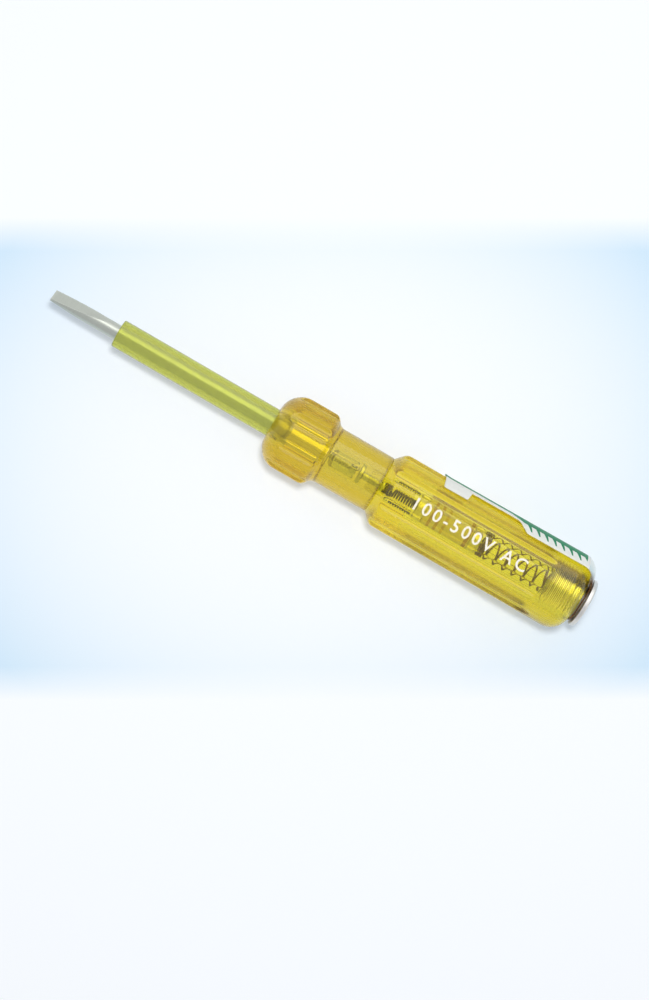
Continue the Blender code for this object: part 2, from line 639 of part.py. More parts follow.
def make_end_plug():
    head = PLUG_HEAD_DIAMETER / 2
    nose = PLUG_SHANK_RADIUS - PLUG_NOSE_CHAMFER
    end = PLUG_SHANK_LENGTH + PLUG_HEAD_THICKNESS
    outline = [
        (0, 0),
        (0, nose),
        (PLUG_NOSE_CHAMFER, PLUG_SHANK_RADIUS),
        (PLUG_SHANK_LENGTH, PLUG_SHANK_RADIUS),
        (PLUG_SHANK_LENGTH, head),
    ]
    outline += round_corner(end, head, PLUG_HEAD_ROUND, steps=3)
    outline.append((end, 0))
    plug = turned("end_plug", PLUG_NOSE_STATION, outline, NICKEL, sides=SMALL_SIDES * 2)
    slot = box_cutter(
        "plug_slot",
        PLUG_NOSE_STATION,
        (end - PLUG_SLOT_DEPTH, -head - CUT_OVERRUN, -PLUG_SLOT_WIDTH / 2),
        (end + CUT_OVERRUN, head + CUT_OVERRUN, PLUG_SLOT_WIDTH / 2),
    )
    combine(plug, slot, "DIFFERENCE")


def clip_rows():
    """The clip's inner surface as rows across it: distance from the foot, radius and half angle about the axis."""
    ring = CLIP_RING_DIAMETER / 2
    bend = min(CLIP_BEND_RADIUS, CLIP_REAR_RADIUS - ring - CLIP_THICKNESS)
    bend_start = CLIP_LENGTH - bend
    half_wide, half_waist = CLIP_WIDTH / 2, CLIP_WAIST_WIDTH / 2
    flare_start = CLIP_FOOT_LENGTH + CLIP_STEP_LENGTH + CLIP_WAIST_LENGTH
    widths = [(0, half_wide), (CLIP_FOOT_LENGTH / 2, half_wide), (CLIP_FOOT_LENGTH, half_wide)]
    widths += [(CLIP_FOOT_LENGTH + CLIP_STEP_LENGTH, half_waist)]
    widths += ogee((flare_start, half_waist), (flare_start + CLIP_FLARE_LENGTH, half_wide), steps=8)
    widths += [((flare_start + CLIP_FLARE_LENGTH + bend_start) / 2, half_wide), (bend_start, half_wide)]
    rows = []
    for distance, half_width in widths:
        radius = CLIP_FOOT_RADIUS + CLIP_REAR_RISE * distance / bend_start
        rows.append((distance, radius, half_width / radius))
    # Past the bend the edges run straight to the ring, as seen from the end.
    radius, half_angle = rows[-1][1:]
    near = (radius * math.cos(half_angle), radius * math.sin(half_angle))
    slope = math.atan2(near[1] - ring, near[0])
    distance_to_edge = ring * math.cos(slope)
    for distance, height in round_corner(CLIP_LENGTH, radius, bend)[1:]:
        angle = slope + math.pi / 2 - math.acos(distance_to_edge / height)
        rows.append((distance, height, angle))
    rows.append((CLIP_LENGTH, ring, math.pi / 2))
    return rows


def make_pocket_clip():
    shape = bmesh.new()
    half = CLIP_COLUMNS // 2
    grid = []
    for row, (distance, radius, half_angle) in enumerate(clip_rows()):
        line = []
        for column in range(-half, half + 1):
            angle = half_angle * column / half
            slant = CLIP_FOOT_SLANT * abs(column) / half if row == 0 else 0
            line.append(shape.verts.new((distance + slant, radius * math.cos(angle), radius * math.sin(angle))))
        grid.append(line)
    for near, far in zip(grid, grid[1:]):
        for i in range(CLIP_COLUMNS):
            shape.faces.new((near[i], near[i + 1], far[i + 1], far[i]))
    # The arm's last row is half of the ring's rim.
    sides = 2 * CLIP_COLUMNS
    rim, hole = list(grid[-1]), []
    for i in range(CLIP_COLUMNS + 1, sides):
        angle = i * math.tau / sides - math.pi / 2
        reach = CLIP_RING_DIAMETER / 2
        rim.append(shape.verts.new((CLIP_LENGTH, reach * math.cos(angle), reach * math.sin(angle))))
    for i in range(sides):
        angle = i * math.tau / sides - math.pi / 2
        reach = CLIP_HOLE_RADIUS
        hole.append(shape.verts.new((CLIP_LENGTH, reach * math.cos(angle), reach * math.sin(angle))))
    for i in range(sides):
        j = (i + 1) % sides
        shape.faces.new((rim[i], rim[j], hole[j], hole[i]))
    bmesh.ops.recalc_face_normals(shape, faces=shape.faces)
    clip = from_bmesh("pocket_clip", shape, CLIP_PLATE_STATION - CLIP_LENGTH, ENAMELLED_SHEET)
    wall = clip.modifiers.new("sheet", "SOLIDIFY")
    wall.thickness = CLIP_THICKNESS
    wall.offset = 1
    wall.use_even_offset = True


def main():
    clear_scene()
    tool_axis = bpy.data.objects.new("tool_axis", None)
    tool_axis.location = (-OVERALL_LENGTH / 2, AXIS_OFFSET, AXIS_HEIGHT)
    bpy.context.scene.collection.objects.link(tool_axis)
    make_blade()
    make_sleeve()
    make_front_handle()
    make_rear_handle()
    make_lamp()
    make_contact()
    make_springs()
    make_resistor()
    make_end_plug()
    make_pocket_clip()


main()
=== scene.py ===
"""Looks of the voltage tester screwdriver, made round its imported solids.

The tool lies along X with its tip at -X and its pocket clip on the +Y side. Every size below is in mm,
unless its line says otherwise. A station is a distance from the blade's tip along the tool's axis, a radius
is a distance from that axis, and a turn is an angle about it, from straight up towards the clip.
"""

import math

import bpy
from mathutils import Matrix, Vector


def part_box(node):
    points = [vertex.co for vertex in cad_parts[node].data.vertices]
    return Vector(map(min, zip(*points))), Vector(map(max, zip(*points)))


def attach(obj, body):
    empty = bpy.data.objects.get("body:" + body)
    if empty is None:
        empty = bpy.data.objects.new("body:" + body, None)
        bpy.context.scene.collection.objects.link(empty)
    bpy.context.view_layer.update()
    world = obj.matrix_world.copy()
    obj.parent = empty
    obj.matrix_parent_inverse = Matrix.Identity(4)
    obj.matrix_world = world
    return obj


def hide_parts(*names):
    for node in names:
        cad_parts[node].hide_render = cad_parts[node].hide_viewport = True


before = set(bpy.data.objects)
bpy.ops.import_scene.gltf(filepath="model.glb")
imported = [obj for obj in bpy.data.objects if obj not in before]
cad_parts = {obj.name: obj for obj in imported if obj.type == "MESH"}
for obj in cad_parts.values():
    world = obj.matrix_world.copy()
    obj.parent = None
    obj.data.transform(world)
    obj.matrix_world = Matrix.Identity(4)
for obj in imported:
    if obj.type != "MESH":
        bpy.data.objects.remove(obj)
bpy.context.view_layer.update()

MM = 0.001
TIP_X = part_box("blade")[0].x
SLEEVE_MIDDLE = sum(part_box("blade_sleeve"), Vector()) / 2
AXIS = Vector((TIP_X, SLEEVE_MIDDLE.y, SLEEVE_MIDDLE.z))

# Blade
BLADE_RADIUS = 1.675
BLADE_END = 66.2
BLADE_TIP_THICKNESS = 0.5
BLADE_FLAT_LENGTH = 13.8
BLADE_FLAT_TURN = math.radians(46)
BLADE_EDGE = 0.06

# Insulating sleeve
SLEEVE_FRONT = 15.9
SLEEVE_REAR = 58.0
SLEEVE_RADIUS = 3.1
SLEEVE_BORE = 1.72
SLEEVE_EDGE = 0.25

# Front handle
COLLAR_FRONT = 53.6
COLLAR_RADIUS = 8.44
COLLAR_ACROSS = 16.6
NOSE_RADIUS = 5.3
NOSE_FACE = 3.9
COLLAR_SHOULDER = 64.1
NECK_FRONT = 67.6
NECK_RADIUS = 6.36
SEAM = 79.6
SLEEVE_SOCKET = 3.14
SLEEVE_STOP = 58.05
BLADE_SOCKET = 1.72
LAMP_SOCKET = 2.5
LAMP_SOCKET_FRONT = 66.2

# Rear handle
SPIGOT_FRONT = 77.0
SPIGOT_RADIUS = 2.44
GRIP_FACE = 79.66
GRIP_RADIUS = 8.56
GRIP_ACROSS = 16.84
GRIP_END_RADIUS = 8.45
GRIP_END = 128.0
SHOULDER_ROUND = 2.3
SHOULDER_SLOPE = math.radians(45)
FLUTE_RUNOUT = 117.0
FLUTE_RUNOUT_RADIUS = 10.0
TAPER_LENGTH = 3.5
END_ROUND = 4.1
CONTACT_BORE = 1.62
BORE_STEP = 87.0
MAIN_BORE = 3.594
THREAD_FRONT = 119.8
SEAM_EDGE = 0.12

# Lands and flutes
LANDS = 8
LAND_HALF_TURN = math.radians(12.5)
FLUTE_DEPTH = 0.8
EDGE_BLEND = 0.14  # how far the polished edges are rounded
HALF_PITCH_TURNS = (0, 2.5, 5, 7.5, 9.5, 10.8, 11.6, 12.2, 12.8, 13.4, 14.2, 15.5, 17.5, 20, 22.5)  # degrees

# Screw thread of the plug
THREAD_PITCH = 0.75
THREAD_DEPTH = 0.42
THREAD_STEPS = 8  # rings to one pitch
BORE_THREAD_MEAN = 3.81
PLUG_THREAD_MEAN = 3.71

# Lamp
LAMP_FRONT = 66.9
LAMP_REAR = 73.8
LAMP_RADIUS = 1.95
LAMP_WALL = 0.3
LAMP_PIP = 0.45
PINCH_LENGTH = 1.5
LAMP_TURN = math.radians(22)  # of the plane of the electrodes, from straight up

# Contact
CONTACT_FRONT = 74.6
CONTACT_DISC = 2.2
CONTACT_DISC_THICKNESS = 0.8
CONTACT_STEM = 0.85
CONTACT_HEAD = 1.35
CONTACT_HEAD_FRONT = 81.7
CONTACT_END = 82.5

# Springs
FRONT_SPRING = (82.8, 88.3)
FRONT_SPRING_RADIUS = 1.225
FRONT_SPRING_WIRE = 0.175
FRONT_SPRING_CURLS = 9.4
REAR_SPRING = (104.1, 120.8)
REAR_SPRING_RADIUS = 2.25
REAR_SPRING_WIRE = 0.21
REAR_SPRING_CURLS = 10.3
CLOSED_CURL_PITCH = 2.4  # in wire radii
CLOSED_CURLS = 1  # at each end
REAR_SPRING_CLOSED_CURLS = 3  # against the resistor
SPRING_STEPS = 28  # to one curl

# Resistor
RESISTOR_FRONT = 88.6
RESISTOR_REAR = 103.8
RESISTOR_RADIUS = 2.3
RESISTOR_CAP = 2.4
RESISTOR_CAP_LENGTH = 2.0

# End plug
PLUG_NOSE = 121.1
PLUG_HEAD = 128.9
PLUG_END = 130.0
PLUG_HEAD_RADIUS = 5.4
PLUG_NECK_RADIUS = 3.45
PLUG_SLOT_WIDTH = 1.3
PLUG_SLOT_DEPTH = 0.5

# Pocket clip
CLIP_FRONT = 90.6
CLIP_PLATE = 128.3
CLIP_THICKNESS = 0.28
CLIP_FOOT_RADIUS = 8.60
CLIP_REAR_RADIUS = 8.95
CLIP_HALF_WIDTH = 6.8
CLIP_HALF_WAIST = 3.8
CLIP_FOOT_END = 96.8
CLIP_FOOT_SLANT = 0.5
CLIP_WAIST_START = 97.4
CLIP_WAIST_END = 108.1
CLIP_FLARE_END = 111.5
CLIP_BEND = 3.4
CLIP_RING = 4.7
CLIP_HOLE = 3.95
CLIP_COLUMNS = 24
CLIP_EDGE = 0.07

# Marking: a plain voltage range on the land that faces up
MARKING = "100-500V AC"
MARKING_START = 87.6
MARKING_END = 114.2
MARKING_HEIGHT = 2.8
MARKING_OFFSET = 0.15  # towards the clip
MARKING_PROUD = 0.02

# Clip enamel
GREEN_START = 106.8
GREEN_END = 125.1
SPINE_NARROW = 2.8  # half of the green line's width along the foot and the waist
SPINE_WIDE = 4.1
STROKE_PITCH = 1.97
STROKE_SLANT = 0.55
STROKES_START = 107.5
STROKES_REACH = 6.1

# Resistor rings: middle, half of the width and colour
RESISTOR_RINGS = (
    (92.3, 0.3, "#CDAA7C"),
    (93.9, 0.3, "#D8B888"),
    (95.5, 0.3, "#E3CB92"),
    (101.0, 0.4, "#C29C6E"),
)

# Clear plastics: how much light passes the surface, and the colour and density per m of what is behind it
HANDLE_CLEARNESS = 0.97
# Paler colour painted on the bores within this radius of the axis: painted light
BORE_PAINTED_LIGHT = "#FCFDBE"
PAINTED_LIGHT_RADIUS = 4.3
BUFFED_TURN = 0.56  # to each side of straight up
HANDLE_SATIN = 0.17
THREAD_MATT = 0.12
HANDLE_DEPTH_COLOUR = (0.963, 0.905, 0.02, 1)
HANDLE_DEPTH_DENSITY = 245
SLEEVE_CLEARNESS = 0.85
SLEEVE_DEPTH_COLOUR = (0.96, 0.965, 0.15, 1)
SLEEVE_DEPTH_DENSITY = 560

# Floor, camera and light
FLOOR_SIZE = 3.0  # m
FLOOR_GAP = 0.00005  # m
FLOOR_COLOUR = "#F9FCFF"
FLOOR_EDGE_COLOUR = "#D2E8F8"
BAND_MIDDLE = (0.0018, -0.0014)  # m
BAND_HALVES = (0.0683, 0.0446)  # m
FLOOR_UP_SHARE = 0.7  # how much the blue grows up the picture, against 1 across it
FLOOR_BLUE_REACH = 1.7
FLOOR_BLUE_POWER = 1.6
FLOOR_BLUE_END = 1.35  # in halves of the band's height
FLOOR_FAR = (0.1, 0.4)  # m, where the floor turns into plain background
FLOOR_GLOW = (0.36, 0.6, 0.9)  # the share that is plain background to camera, glossy and transmitted rays
WORLD_STRENGTH = 0.45
# More as plain background to camera, glossy and transmitted rays. A refracted ray counts as both of the last
# two, so no ray sees more than 1, which is white.
WORLD_SEEN = (0.5, 0.3, 0.25)
LIGHTS_AIM = (0.02, 0, 0.005)  # m
# Each light's place and size in m, its power in W, and whether gloss and clear plastic show it. One that
# they don't show lights the matt surfaces.
LIGHTS = (
    ("softbox", (0.0, 0.323, 0.445), (0.70, 0.64), 2.0, True),
    ("key", (-0.02, 0.055, 0.54), (0.075, 0.075), 1.9, False),
    ("side", (0.45, 0.10, 0.20), (0.20, 0.20), 0.1, True),
)
PHOTO_TURN = math.radians(30.15)
CAMERA_PLACE = (-0.01333, -0.01795, 0.50845)
CAMERA_LENS = 85.2
CAMERA_SHIFT = (0.1014, -0.0101)


def at(station, radius, turn=0.0):
    return AXIS + Vector((station, radius * math.sin(turn), radius * math.cos(turn))) * MM


def about_axis(point):
    """The station, radius and turn of a point."""
    offset = (point - AXIS) / MM
    return offset.x, math.hypot(offset.y, offset.z), math.atan2(offset.y, offset.z)


def reshape(piece, rule):
    """Moves every corner of a piece by a rule from its station, radius and turn to new ones."""
    for corner in piece.data.vertices:
        corner.co = at(*rule(*about_axis(corner.co)))
    piece.data.update()


# Outlines


def run(start, end, step):
    """Points from start up to, but without, end, at most a step apart."""
    length = math.dist(start, end)
    count = max(1, math.ceil(length / step))
    return [tuple(a + (b - a) * i / count for a, b in zip(start, end)) for i in range(count)]


def arc(centre, radius, start, end, steps):
    angles = [start + (end - start) * i / steps for i in range(steps + 1)]
    return [(centre[0] + radius * math.cos(a), centre[1] + radius * math.sin(a)) for a in angles]


def ogee(start, end, steps):
    """An S-shaped step of two equal arcs, which leaves and arrives along the axis."""
    length, rise = end[0] - start[0], end[1] - start[1]
    radius = (length**2 + rise**2) / (4 * abs(rise))
    points = []
    for i in range(steps + 1):
        along = length * i / steps
        near = min(along, length - along)
        drop = radius - math.sqrt(radius**2 - near**2)
        share = drop if along <= length / 2 else abs(rise) - drop
        points.append((start[0] + along, start[1] + math.copysign(share, rise)))
    return points


# Modelling


def open_mesh(piece):
    """Opens a piece in edit mode with all of it selected, and nothing else."""
    bpy.ops.object.select_all(action="DESELECT")
    piece.select_set(True)
    bpy.context.view_layer.objects.active = piece
    bpy.ops.object.mode_set(mode="EDIT")
    bpy.ops.mesh.select_all(action="SELECT")


def close_mesh(piece, smooth_angle=30):
    """Leaves edit mode with merged doubles, faces that point outwards and smooth shading up to an angle."""
    bpy.ops.mesh.select_all(action="SELECT")
    bpy.ops.mesh.remove_doubles(threshold=0.000001)
    bpy.ops.mesh.delete_loose()
    bpy.ops.mesh.select_all(action="SELECT")
    bpy.ops.mesh.normals_make_consistent(inside=False)
    bpy.ops.object.mode_set(mode="OBJECT")
    bpy.ops.object.shade_smooth_by_angle(angle=math.radians(smooth_angle))
    return piece


def named(name):
    """Names what an operator has just added."""
    piece = bpy.context.object
    piece.name = name
    piece.data.name = name
    return piece


def turned(name, outline, steps, smooth_angle=30):
    """A turned piece: a circle's corners are moved onto the outline, which is then spun round the axis."""
    bpy.ops.object.select_all(action="DESELECT")
    bpy.ops.mesh.primitive_circle_add(vertices=len(outline), radius=MM)
    piece = named(name)
    for corner, (station, radius) in zip(piece.data.vertices, outline):
        corner.co = at(station, radius)
    open_mesh(piece)
    bpy.ops.mesh.spin(steps=steps, angle=math.tau, center=AXIS, axis=(1, 0, 0))
    return close_mesh(piece, smooth_angle)


def apply_modifier(piece, kind, **settings):
    modifier = piece.modifiers.new(kind.lower(), kind)
    for setting, value in settings.items():
        setattr(modifier, setting, value)
    bpy.ops.object.select_all(action="DESELECT")
    piece.select_set(True)
    bpy.context.view_layer.objects.active = piece
    bpy.ops.object.modifier_apply(modifier=modifier.name)


def fit(piece, finish, body, slot, *nodes):
    """Finishes a piece: its material, the body that it rides on and the CAD nodes that it stands for."""
    piece.data.materials.clear()
    piece.data.materials.append(finish)
    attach(piece, body)
    if nodes:
        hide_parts(*nodes)


# Handle


def smooth_least(a, b, blend):
    near = max(blend - abs(a - b), 0) / blend
    return min(a, b) - near**2 * blend / 4


def fluted_radius(turn, across):
    """The radius of the handle's section: flat lands with a round flute between each two."""
    pitch = math.tau / LANDS
    from_land = abs((turn + pitch / 2) % pitch - pitch / 2)
    from_flute = pitch / 2 - from_land
    crest = across / 2 / math.cos(LAND_HALF_TURN)
    half_flute = pitch / 2 - LAND_HALF_TURN
    half_chord = crest * math.sin(half_flute)
    sagitta = FLUTE_DEPTH - crest * (1 - math.cos(half_flute))
    flute_radius = (half_chord**2 + sagitta**2) / (2 * sagitta)
    flute_centre = crest - FLUTE_DEPTH + flute_radius
    land = across / 2 / math.cos(from_land)
    reach = max(flute_radius**2 - (flute_centre * math.sin(from_flute)) ** 2, 0)
    flute = flute_centre * math.cos(from_flute) - math.sqrt(reach)
    return smooth_least(land, flute, EDGE_BLEND)


def crowded(turn):
    """Draws evenly spaced turns together at the edges between lands and flutes."""
    half_pitch = math.pi / LANDS
    land = round(turn / (2 * half_pitch))
    offset = turn / half_pitch - 2 * land
    steps = len(HALF_PITCH_TURNS) - 1
    index = min(abs(offset) * steps, steps - 0.000001)
    low = int(index)
    share = index - low
    degrees = HALF_PITCH_TURNS[low] * (1 - share) + HALF_PITCH_TURNS[low + 1] * share
    return land * 2 * half_pitch + math.copysign(math.radians(degrees), offset)


def thread_wave(station, turn):
    """From -1 at a right-handed thread's root to 1 at its crest."""
    phase = (station / THREAD_PITCH + turn / math.tau) % 1
    return 4 * abs(phase - 0.5) - 1


def collar_rule(station, radius, turn):
    turn = crowded(turn)
    return station, smooth_least(radius, fluted_radius(turn, COLLAR_ACROSS), EDGE_BLEND), turn


def grip_rule(station, radius, turn):
    turn = crowded(turn)
    along = min(max(station - FLUTE_RUNOUT, 0), 0.99 * FLUTE_RUNOUT_RADIUS)
    rise = FLUTE_RUNOUT_RADIUS - math.sqrt(FLUTE_RUNOUT_RADIUS**2 - along**2)
    if abs(radius - BORE_THREAD_MEAN) < 0.02 and THREAD_FRONT < station < GRIP_END:
        fade = min(1, (station - THREAD_FRONT) / THREAD_PITCH, (GRIP_END - station) / 0.3)
        return station, radius + fade * THREAD_DEPTH / 2 * thread_wave(station, turn), turn
    return station, smooth_least(radius, fluted_radius(turn, GRIP_ACROSS) + rise, EDGE_BLEND), turn


HANDLE_STEPS = 2 * LANDS * (len(HALF_PITCH_TURNS) - 1)


def make_front_handle():
    nose_start = math.asin((NOSE_FACE - COLLAR_RADIUS + NOSE_RADIUS) / NOSE_RADIUS)
    nose_centre = (COLLAR_FRONT + NOSE_RADIUS * math.cos(nose_start), COLLAR_RADIUS - NOSE_RADIUS)
    outline = [(COLLAR_FRONT, SLEEVE_SOCKET + SEAM_EDGE)]
    outline += arc(nose_centre, NOSE_RADIUS, math.pi - nose_start, math.pi / 2, 30)
    outline += run(outline.pop(), (COLLAR_SHOULDER, COLLAR_RADIUS), 0.8)
    outline += ogee((COLLAR_SHOULDER, COLLAR_RADIUS), (NECK_FRONT, NECK_RADIUS), 20)
    outline += [(SEAM - SEAM_EDGE, NECK_RADIUS), (SEAM, NECK_RADIUS - SEAM_EDGE)]
    outline += [(SEAM, LAMP_SOCKET), (LAMP_SOCKET_FRONT, LAMP_SOCKET)]
    outline += [(LAMP_SOCKET_FRONT - 0.6, BLADE_SOCKET), (SLEEVE_STOP, BLADE_SOCKET)]
    outline += [(SLEEVE_STOP, SLEEVE_SOCKET), (COLLAR_FRONT + SEAM_EDGE, SLEEVE_SOCKET)]
    handle = turned("front_handle_clear", outline, HANDLE_STEPS)
    reshape(handle, collar_rule)
    return handle


def make_rear_handle():
    round_run = SHOULDER_ROUND * math.sin(SHOULDER_SLOPE)
    round_rise = SHOULDER_ROUND * (1 - math.cos(SHOULDER_SLOPE))
    cone_run = (GRIP_RADIUS - NECK_RADIUS - round_rise) / math.tan(SHOULDER_SLOPE)
    round_centre = (GRIP_FACE + cone_run + round_run, GRIP_RADIUS - SHOULDER_ROUND)
    outline = [(SPIGOT_FRONT, CONTACT_BORE), (SPIGOT_FRONT, SPIGOT_RADIUS), (GRIP_FACE, SPIGOT_RADIUS)]
    outline.append((GRIP_FACE, NECK_RADIUS - SEAM_EDGE))
    cone_end = (GRIP_FACE + cone_run, GRIP_RADIUS - round_rise)
    outline += run((GRIP_FACE + SEAM_EDGE, NECK_RADIUS), cone_end, 0.25)
    outline += arc(round_centre, SHOULDER_ROUND, math.pi / 2 + SHOULDER_SLOPE, math.pi / 2, 10)
    outline += run(outline.pop(), (FLUTE_RUNOUT, GRIP_RADIUS), 2.0)
    outline += ogee((FLUTE_RUNOUT, GRIP_RADIUS), (FLUTE_RUNOUT + TAPER_LENGTH, GRIP_END_RADIUS), 12)
    outline += run(outline.pop(), (GRIP_END - END_ROUND, GRIP_END_RADIUS), 0.3)
    end_centre = (GRIP_END - END_ROUND, GRIP_END_RADIUS - END_ROUND)
    outline += arc(end_centre, END_ROUND, math.pi / 2, 0, 24)
    outline.append((GRIP_END, BORE_THREAD_MEAN + 0.25))
    thread_front = (THREAD_FRONT, BORE_THREAD_MEAN)
    outline += run((GRIP_END - 0.15, BORE_THREAD_MEAN), thread_front, THREAD_PITCH / THREAD_STEPS)
    outline += [(THREAD_FRONT, MAIN_BORE), (BORE_STEP, MAIN_BORE), (BORE_STEP, CONTACT_BORE)]
    handle = turned("rear_handle_clear", outline, HANDLE_STEPS)
    reshape(handle, grip_rule)
    return handle


# Blade and sleeve


def make_blade():
    """A drawn rod, cut by two planes that leave the tip's thickness between them."""
    bpy.ops.object.select_all(action="DESELECT")
    bpy.ops.mesh.primitive_cylinder_add(
        vertices=96,
        radius=BLADE_RADIUS * MM,
        depth=BLADE_END * MM,
        location=at(BLADE_END / 2, 0),
        rotation=(0, math.pi / 2, 0),
    )
    blade = named("blade_ground")
    bpy.ops.object.transform_apply(location=True, rotation=True, scale=True)
    slope = math.atan((BLADE_RADIUS - BLADE_TIP_THICKNESS / 2) / BLADE_FLAT_LENGTH)
    open_mesh(blade)
    for turn in (BLADE_FLAT_TURN, BLADE_FLAT_TURN + math.pi):
        outwards = (at(0, 1, turn) - at(0, 0)) / MM
        normal = outwards * math.cos(slope) - Vector((math.sin(slope), 0, 0))
        bpy.ops.mesh.select_all(action="SELECT")
        edge = at(0, BLADE_TIP_THICKNESS / 2, turn)
        bpy.ops.mesh.bisect(plane_co=edge, plane_no=normal, use_fill=True, clear_outer=True)
    close_mesh(blade)
    apply_modifier(blade, "BEVEL", width=BLADE_EDGE * MM, segments=2, limit_method="ANGLE")
    return blade


def make_sleeve():
    outline = [(SLEEVE_FRONT, SLEEVE_BORE + 0.1)]
    edge_centre = (SLEEVE_FRONT + SLEEVE_EDGE, SLEEVE_RADIUS - SLEEVE_EDGE)
    outline += arc(edge_centre, SLEEVE_EDGE, math.pi, math.pi / 2, 4)
    outline += [(SLEEVE_REAR - SLEEVE_EDGE, SLEEVE_RADIUS), (SLEEVE_REAR, SLEEVE_RADIUS - SLEEVE_EDGE)]
    outline += [(SLEEVE_REAR, SLEEVE_BORE), (SLEEVE_FRONT + 0.1, SLEEVE_BORE)]
    return turned("sleeve_tube", outline, 96)


# Lamp and contact


def make_lamp_glass():
    """A blown tube with a drawn pip in front. Its open end is closed by the pinch."""
    outer = LAMP_RADIUS
    inner = LAMP_RADIUS - LAMP_WALL
    dome, steps = 1.3, 10
    outside = [(LAMP_FRONT, 0), (LAMP_FRONT + 0.08, LAMP_PIP * 0.6), (LAMP_FRONT + 0.35, LAMP_PIP)]
    for i in range(1, steps + 1):
        angle = i / steps * math.pi / 2
        station = LAMP_FRONT + 0.4 + dome * (1 - math.cos(angle))
        outside.append((station, LAMP_PIP + (outer - LAMP_PIP) * math.sin(angle)))
    outside += [(LAMP_REAR - 0.5, outer), (LAMP_REAR - 0.1, outer * 0.97), (LAMP_REAR, outer * 0.9)]
    inside = [(LAMP_REAR, inner * 0.94), (LAMP_REAR - 0.5, inner)]
    for i in range(steps, -1, -1):
        angle = i / steps * math.pi / 2
        inside.append((LAMP_FRONT + 0.75 + dome * (1 - math.cos(angle)), inner * math.sin(angle)))
    return turned("lamp_bulb", outside + inside, 64, 60)


def make_lamp_pinch():
    """The bulb's pinched foot, in which both leads are sealed: round in front and pressed flat behind."""
    front = LAMP_REAR - PINCH_LENGTH
    outline = [(front, 0), (front + 0.1, 1.1), (front + 0.45, 1.5), (front + 0.8, 1.5)]
    outline += [(LAMP_REAR - 0.2, 1.35), (LAMP_REAR, 1.1), (LAMP_REAR, 0)]
    pinch = turned("lamp_pinch", outline, 48, 60)

    def rule(station, radius, turn):
        pressed = 1 - 0.45 * abs(math.cos(turn - LAMP_TURN - math.pi / 2)) ** 2
        return station, radius * pressed, turn

    reshape(pinch, rule)
    return pinch


def make_contact():
    edge = 0.12
    rear = CONTACT_FRONT + CONTACT_DISC_THICKNESS
    outline = [(CONTACT_FRONT, 0), (CONTACT_FRONT, CONTACT_DISC - edge), (CONTACT_FRONT + edge, CONTACT_DISC)]
    outline += [(rear - edge, CONTACT_DISC), (rear, CONTACT_DISC - edge), (rear, CONTACT_STEM + 0.2)]
    outline += [(rear + 0.2, CONTACT_STEM), (CONTACT_HEAD_FRONT - 0.15, CONTACT_STEM)]
    outline += [(CONTACT_HEAD_FRONT, CONTACT_STEM + 0.15), (CONTACT_HEAD_FRONT, CONTACT_HEAD - edge)]
    outline += [(CONTACT_HEAD_FRONT + edge, CONTACT_HEAD), (CONTACT_END - edge, CONTACT_HEAD)]
    outline += [(CONTACT_END, CONTACT_HEAD - edge), (CONTACT_END, 0)]
    return turned("contact_pin", outline, 48)


# Springs and resistor


def make_spring(name, ends, radius, wire, curls, closed):
    """A wound wire: a round section is screwed round the axis, then the curls at its ends are drawn close."""
    bpy.ops.object.select_all(action="DESELECT")
    bpy.ops.mesh.primitive_circle_add(vertices=14, radius=wire * MM, location=at(ends[0] + wire, 0))
    spring = named(name)
    for corner in spring.data.vertices:
        corner.co = (corner.co.x, 0, corner.co.y + radius * MM)
    span = ends[1] - ends[0] - 2 * wire
    steps = round(curls * SPRING_STEPS)
    screw = {"axis": "X", "angle": curls * math.tau, "screw_offset": span * MM}
    apply_modifier(spring, "SCREW", **screw, steps=steps, render_steps=steps)
    bpy.ops.object.transform_apply(location=True, rotation=True, scale=True)
    open_mesh(spring)
    bpy.ops.mesh.fill_holes(sides=0)
    close_mesh(spring, 50)
    pitch = span / curls
    tight_pitch = CLOSED_CURL_PITCH * wire
    open_curls = curls - closed - CLOSED_CURLS
    open_pitch = (span - (closed + CLOSED_CURLS) * tight_pitch) / open_curls

    def rule(station, reach, turn):
        along = (station - ends[0] - wire) / pitch
        part = -turn / math.tau
        curl = part + round(along - part)
        middle = min(max(curl - closed, 0), open_curls)
        drawn = middle * open_pitch + (curl - middle) * tight_pitch
        return station + drawn - curl * pitch, reach, turn

    reshape(spring, rule)
    return spring


def make_resistor_body():
    cap_end = RESISTOR_FRONT + RESISTOR_CAP_LENGTH + 0.05
    core = RESISTOR_RADIUS - 0.45
    front = [(RESISTOR_FRONT + 0.5, 0), (RESISTOR_FRONT + 0.5, core), (cap_end, core), (cap_end, core + 0.2)]
    front += [(cap_end + 0.15, RESISTOR_RADIUS - 0.06), (cap_end + 0.5, RESISTOR_RADIUS)]
    middle = (RESISTOR_FRONT + RESISTOR_REAR) / 2
    rear = [(2 * middle - station, radius) for station, radius in reversed(front)]
    return turned("resistor_rod", front + [(middle, RESISTOR_RADIUS - 0.05)] + rear, 48)


def make_resistor_cap(name, outer_end, side):
    rim, cup, length = RESISTOR_CAP, RESISTOR_CAP - 0.28, RESISTOR_CAP_LENGTH
    cap = [(0, 0), (0, rim - 0.25), (0.1, rim - 0.08), (0.3, rim), (length - 0.2, rim), (length, rim - 0.04)]
    cap += [(length, cup), (0.35, cup), (0.35, 0)]
    return turned(name, [(outer_end + side * station, radius) for station, radius in cap], 48)


# End plug, clip and marking


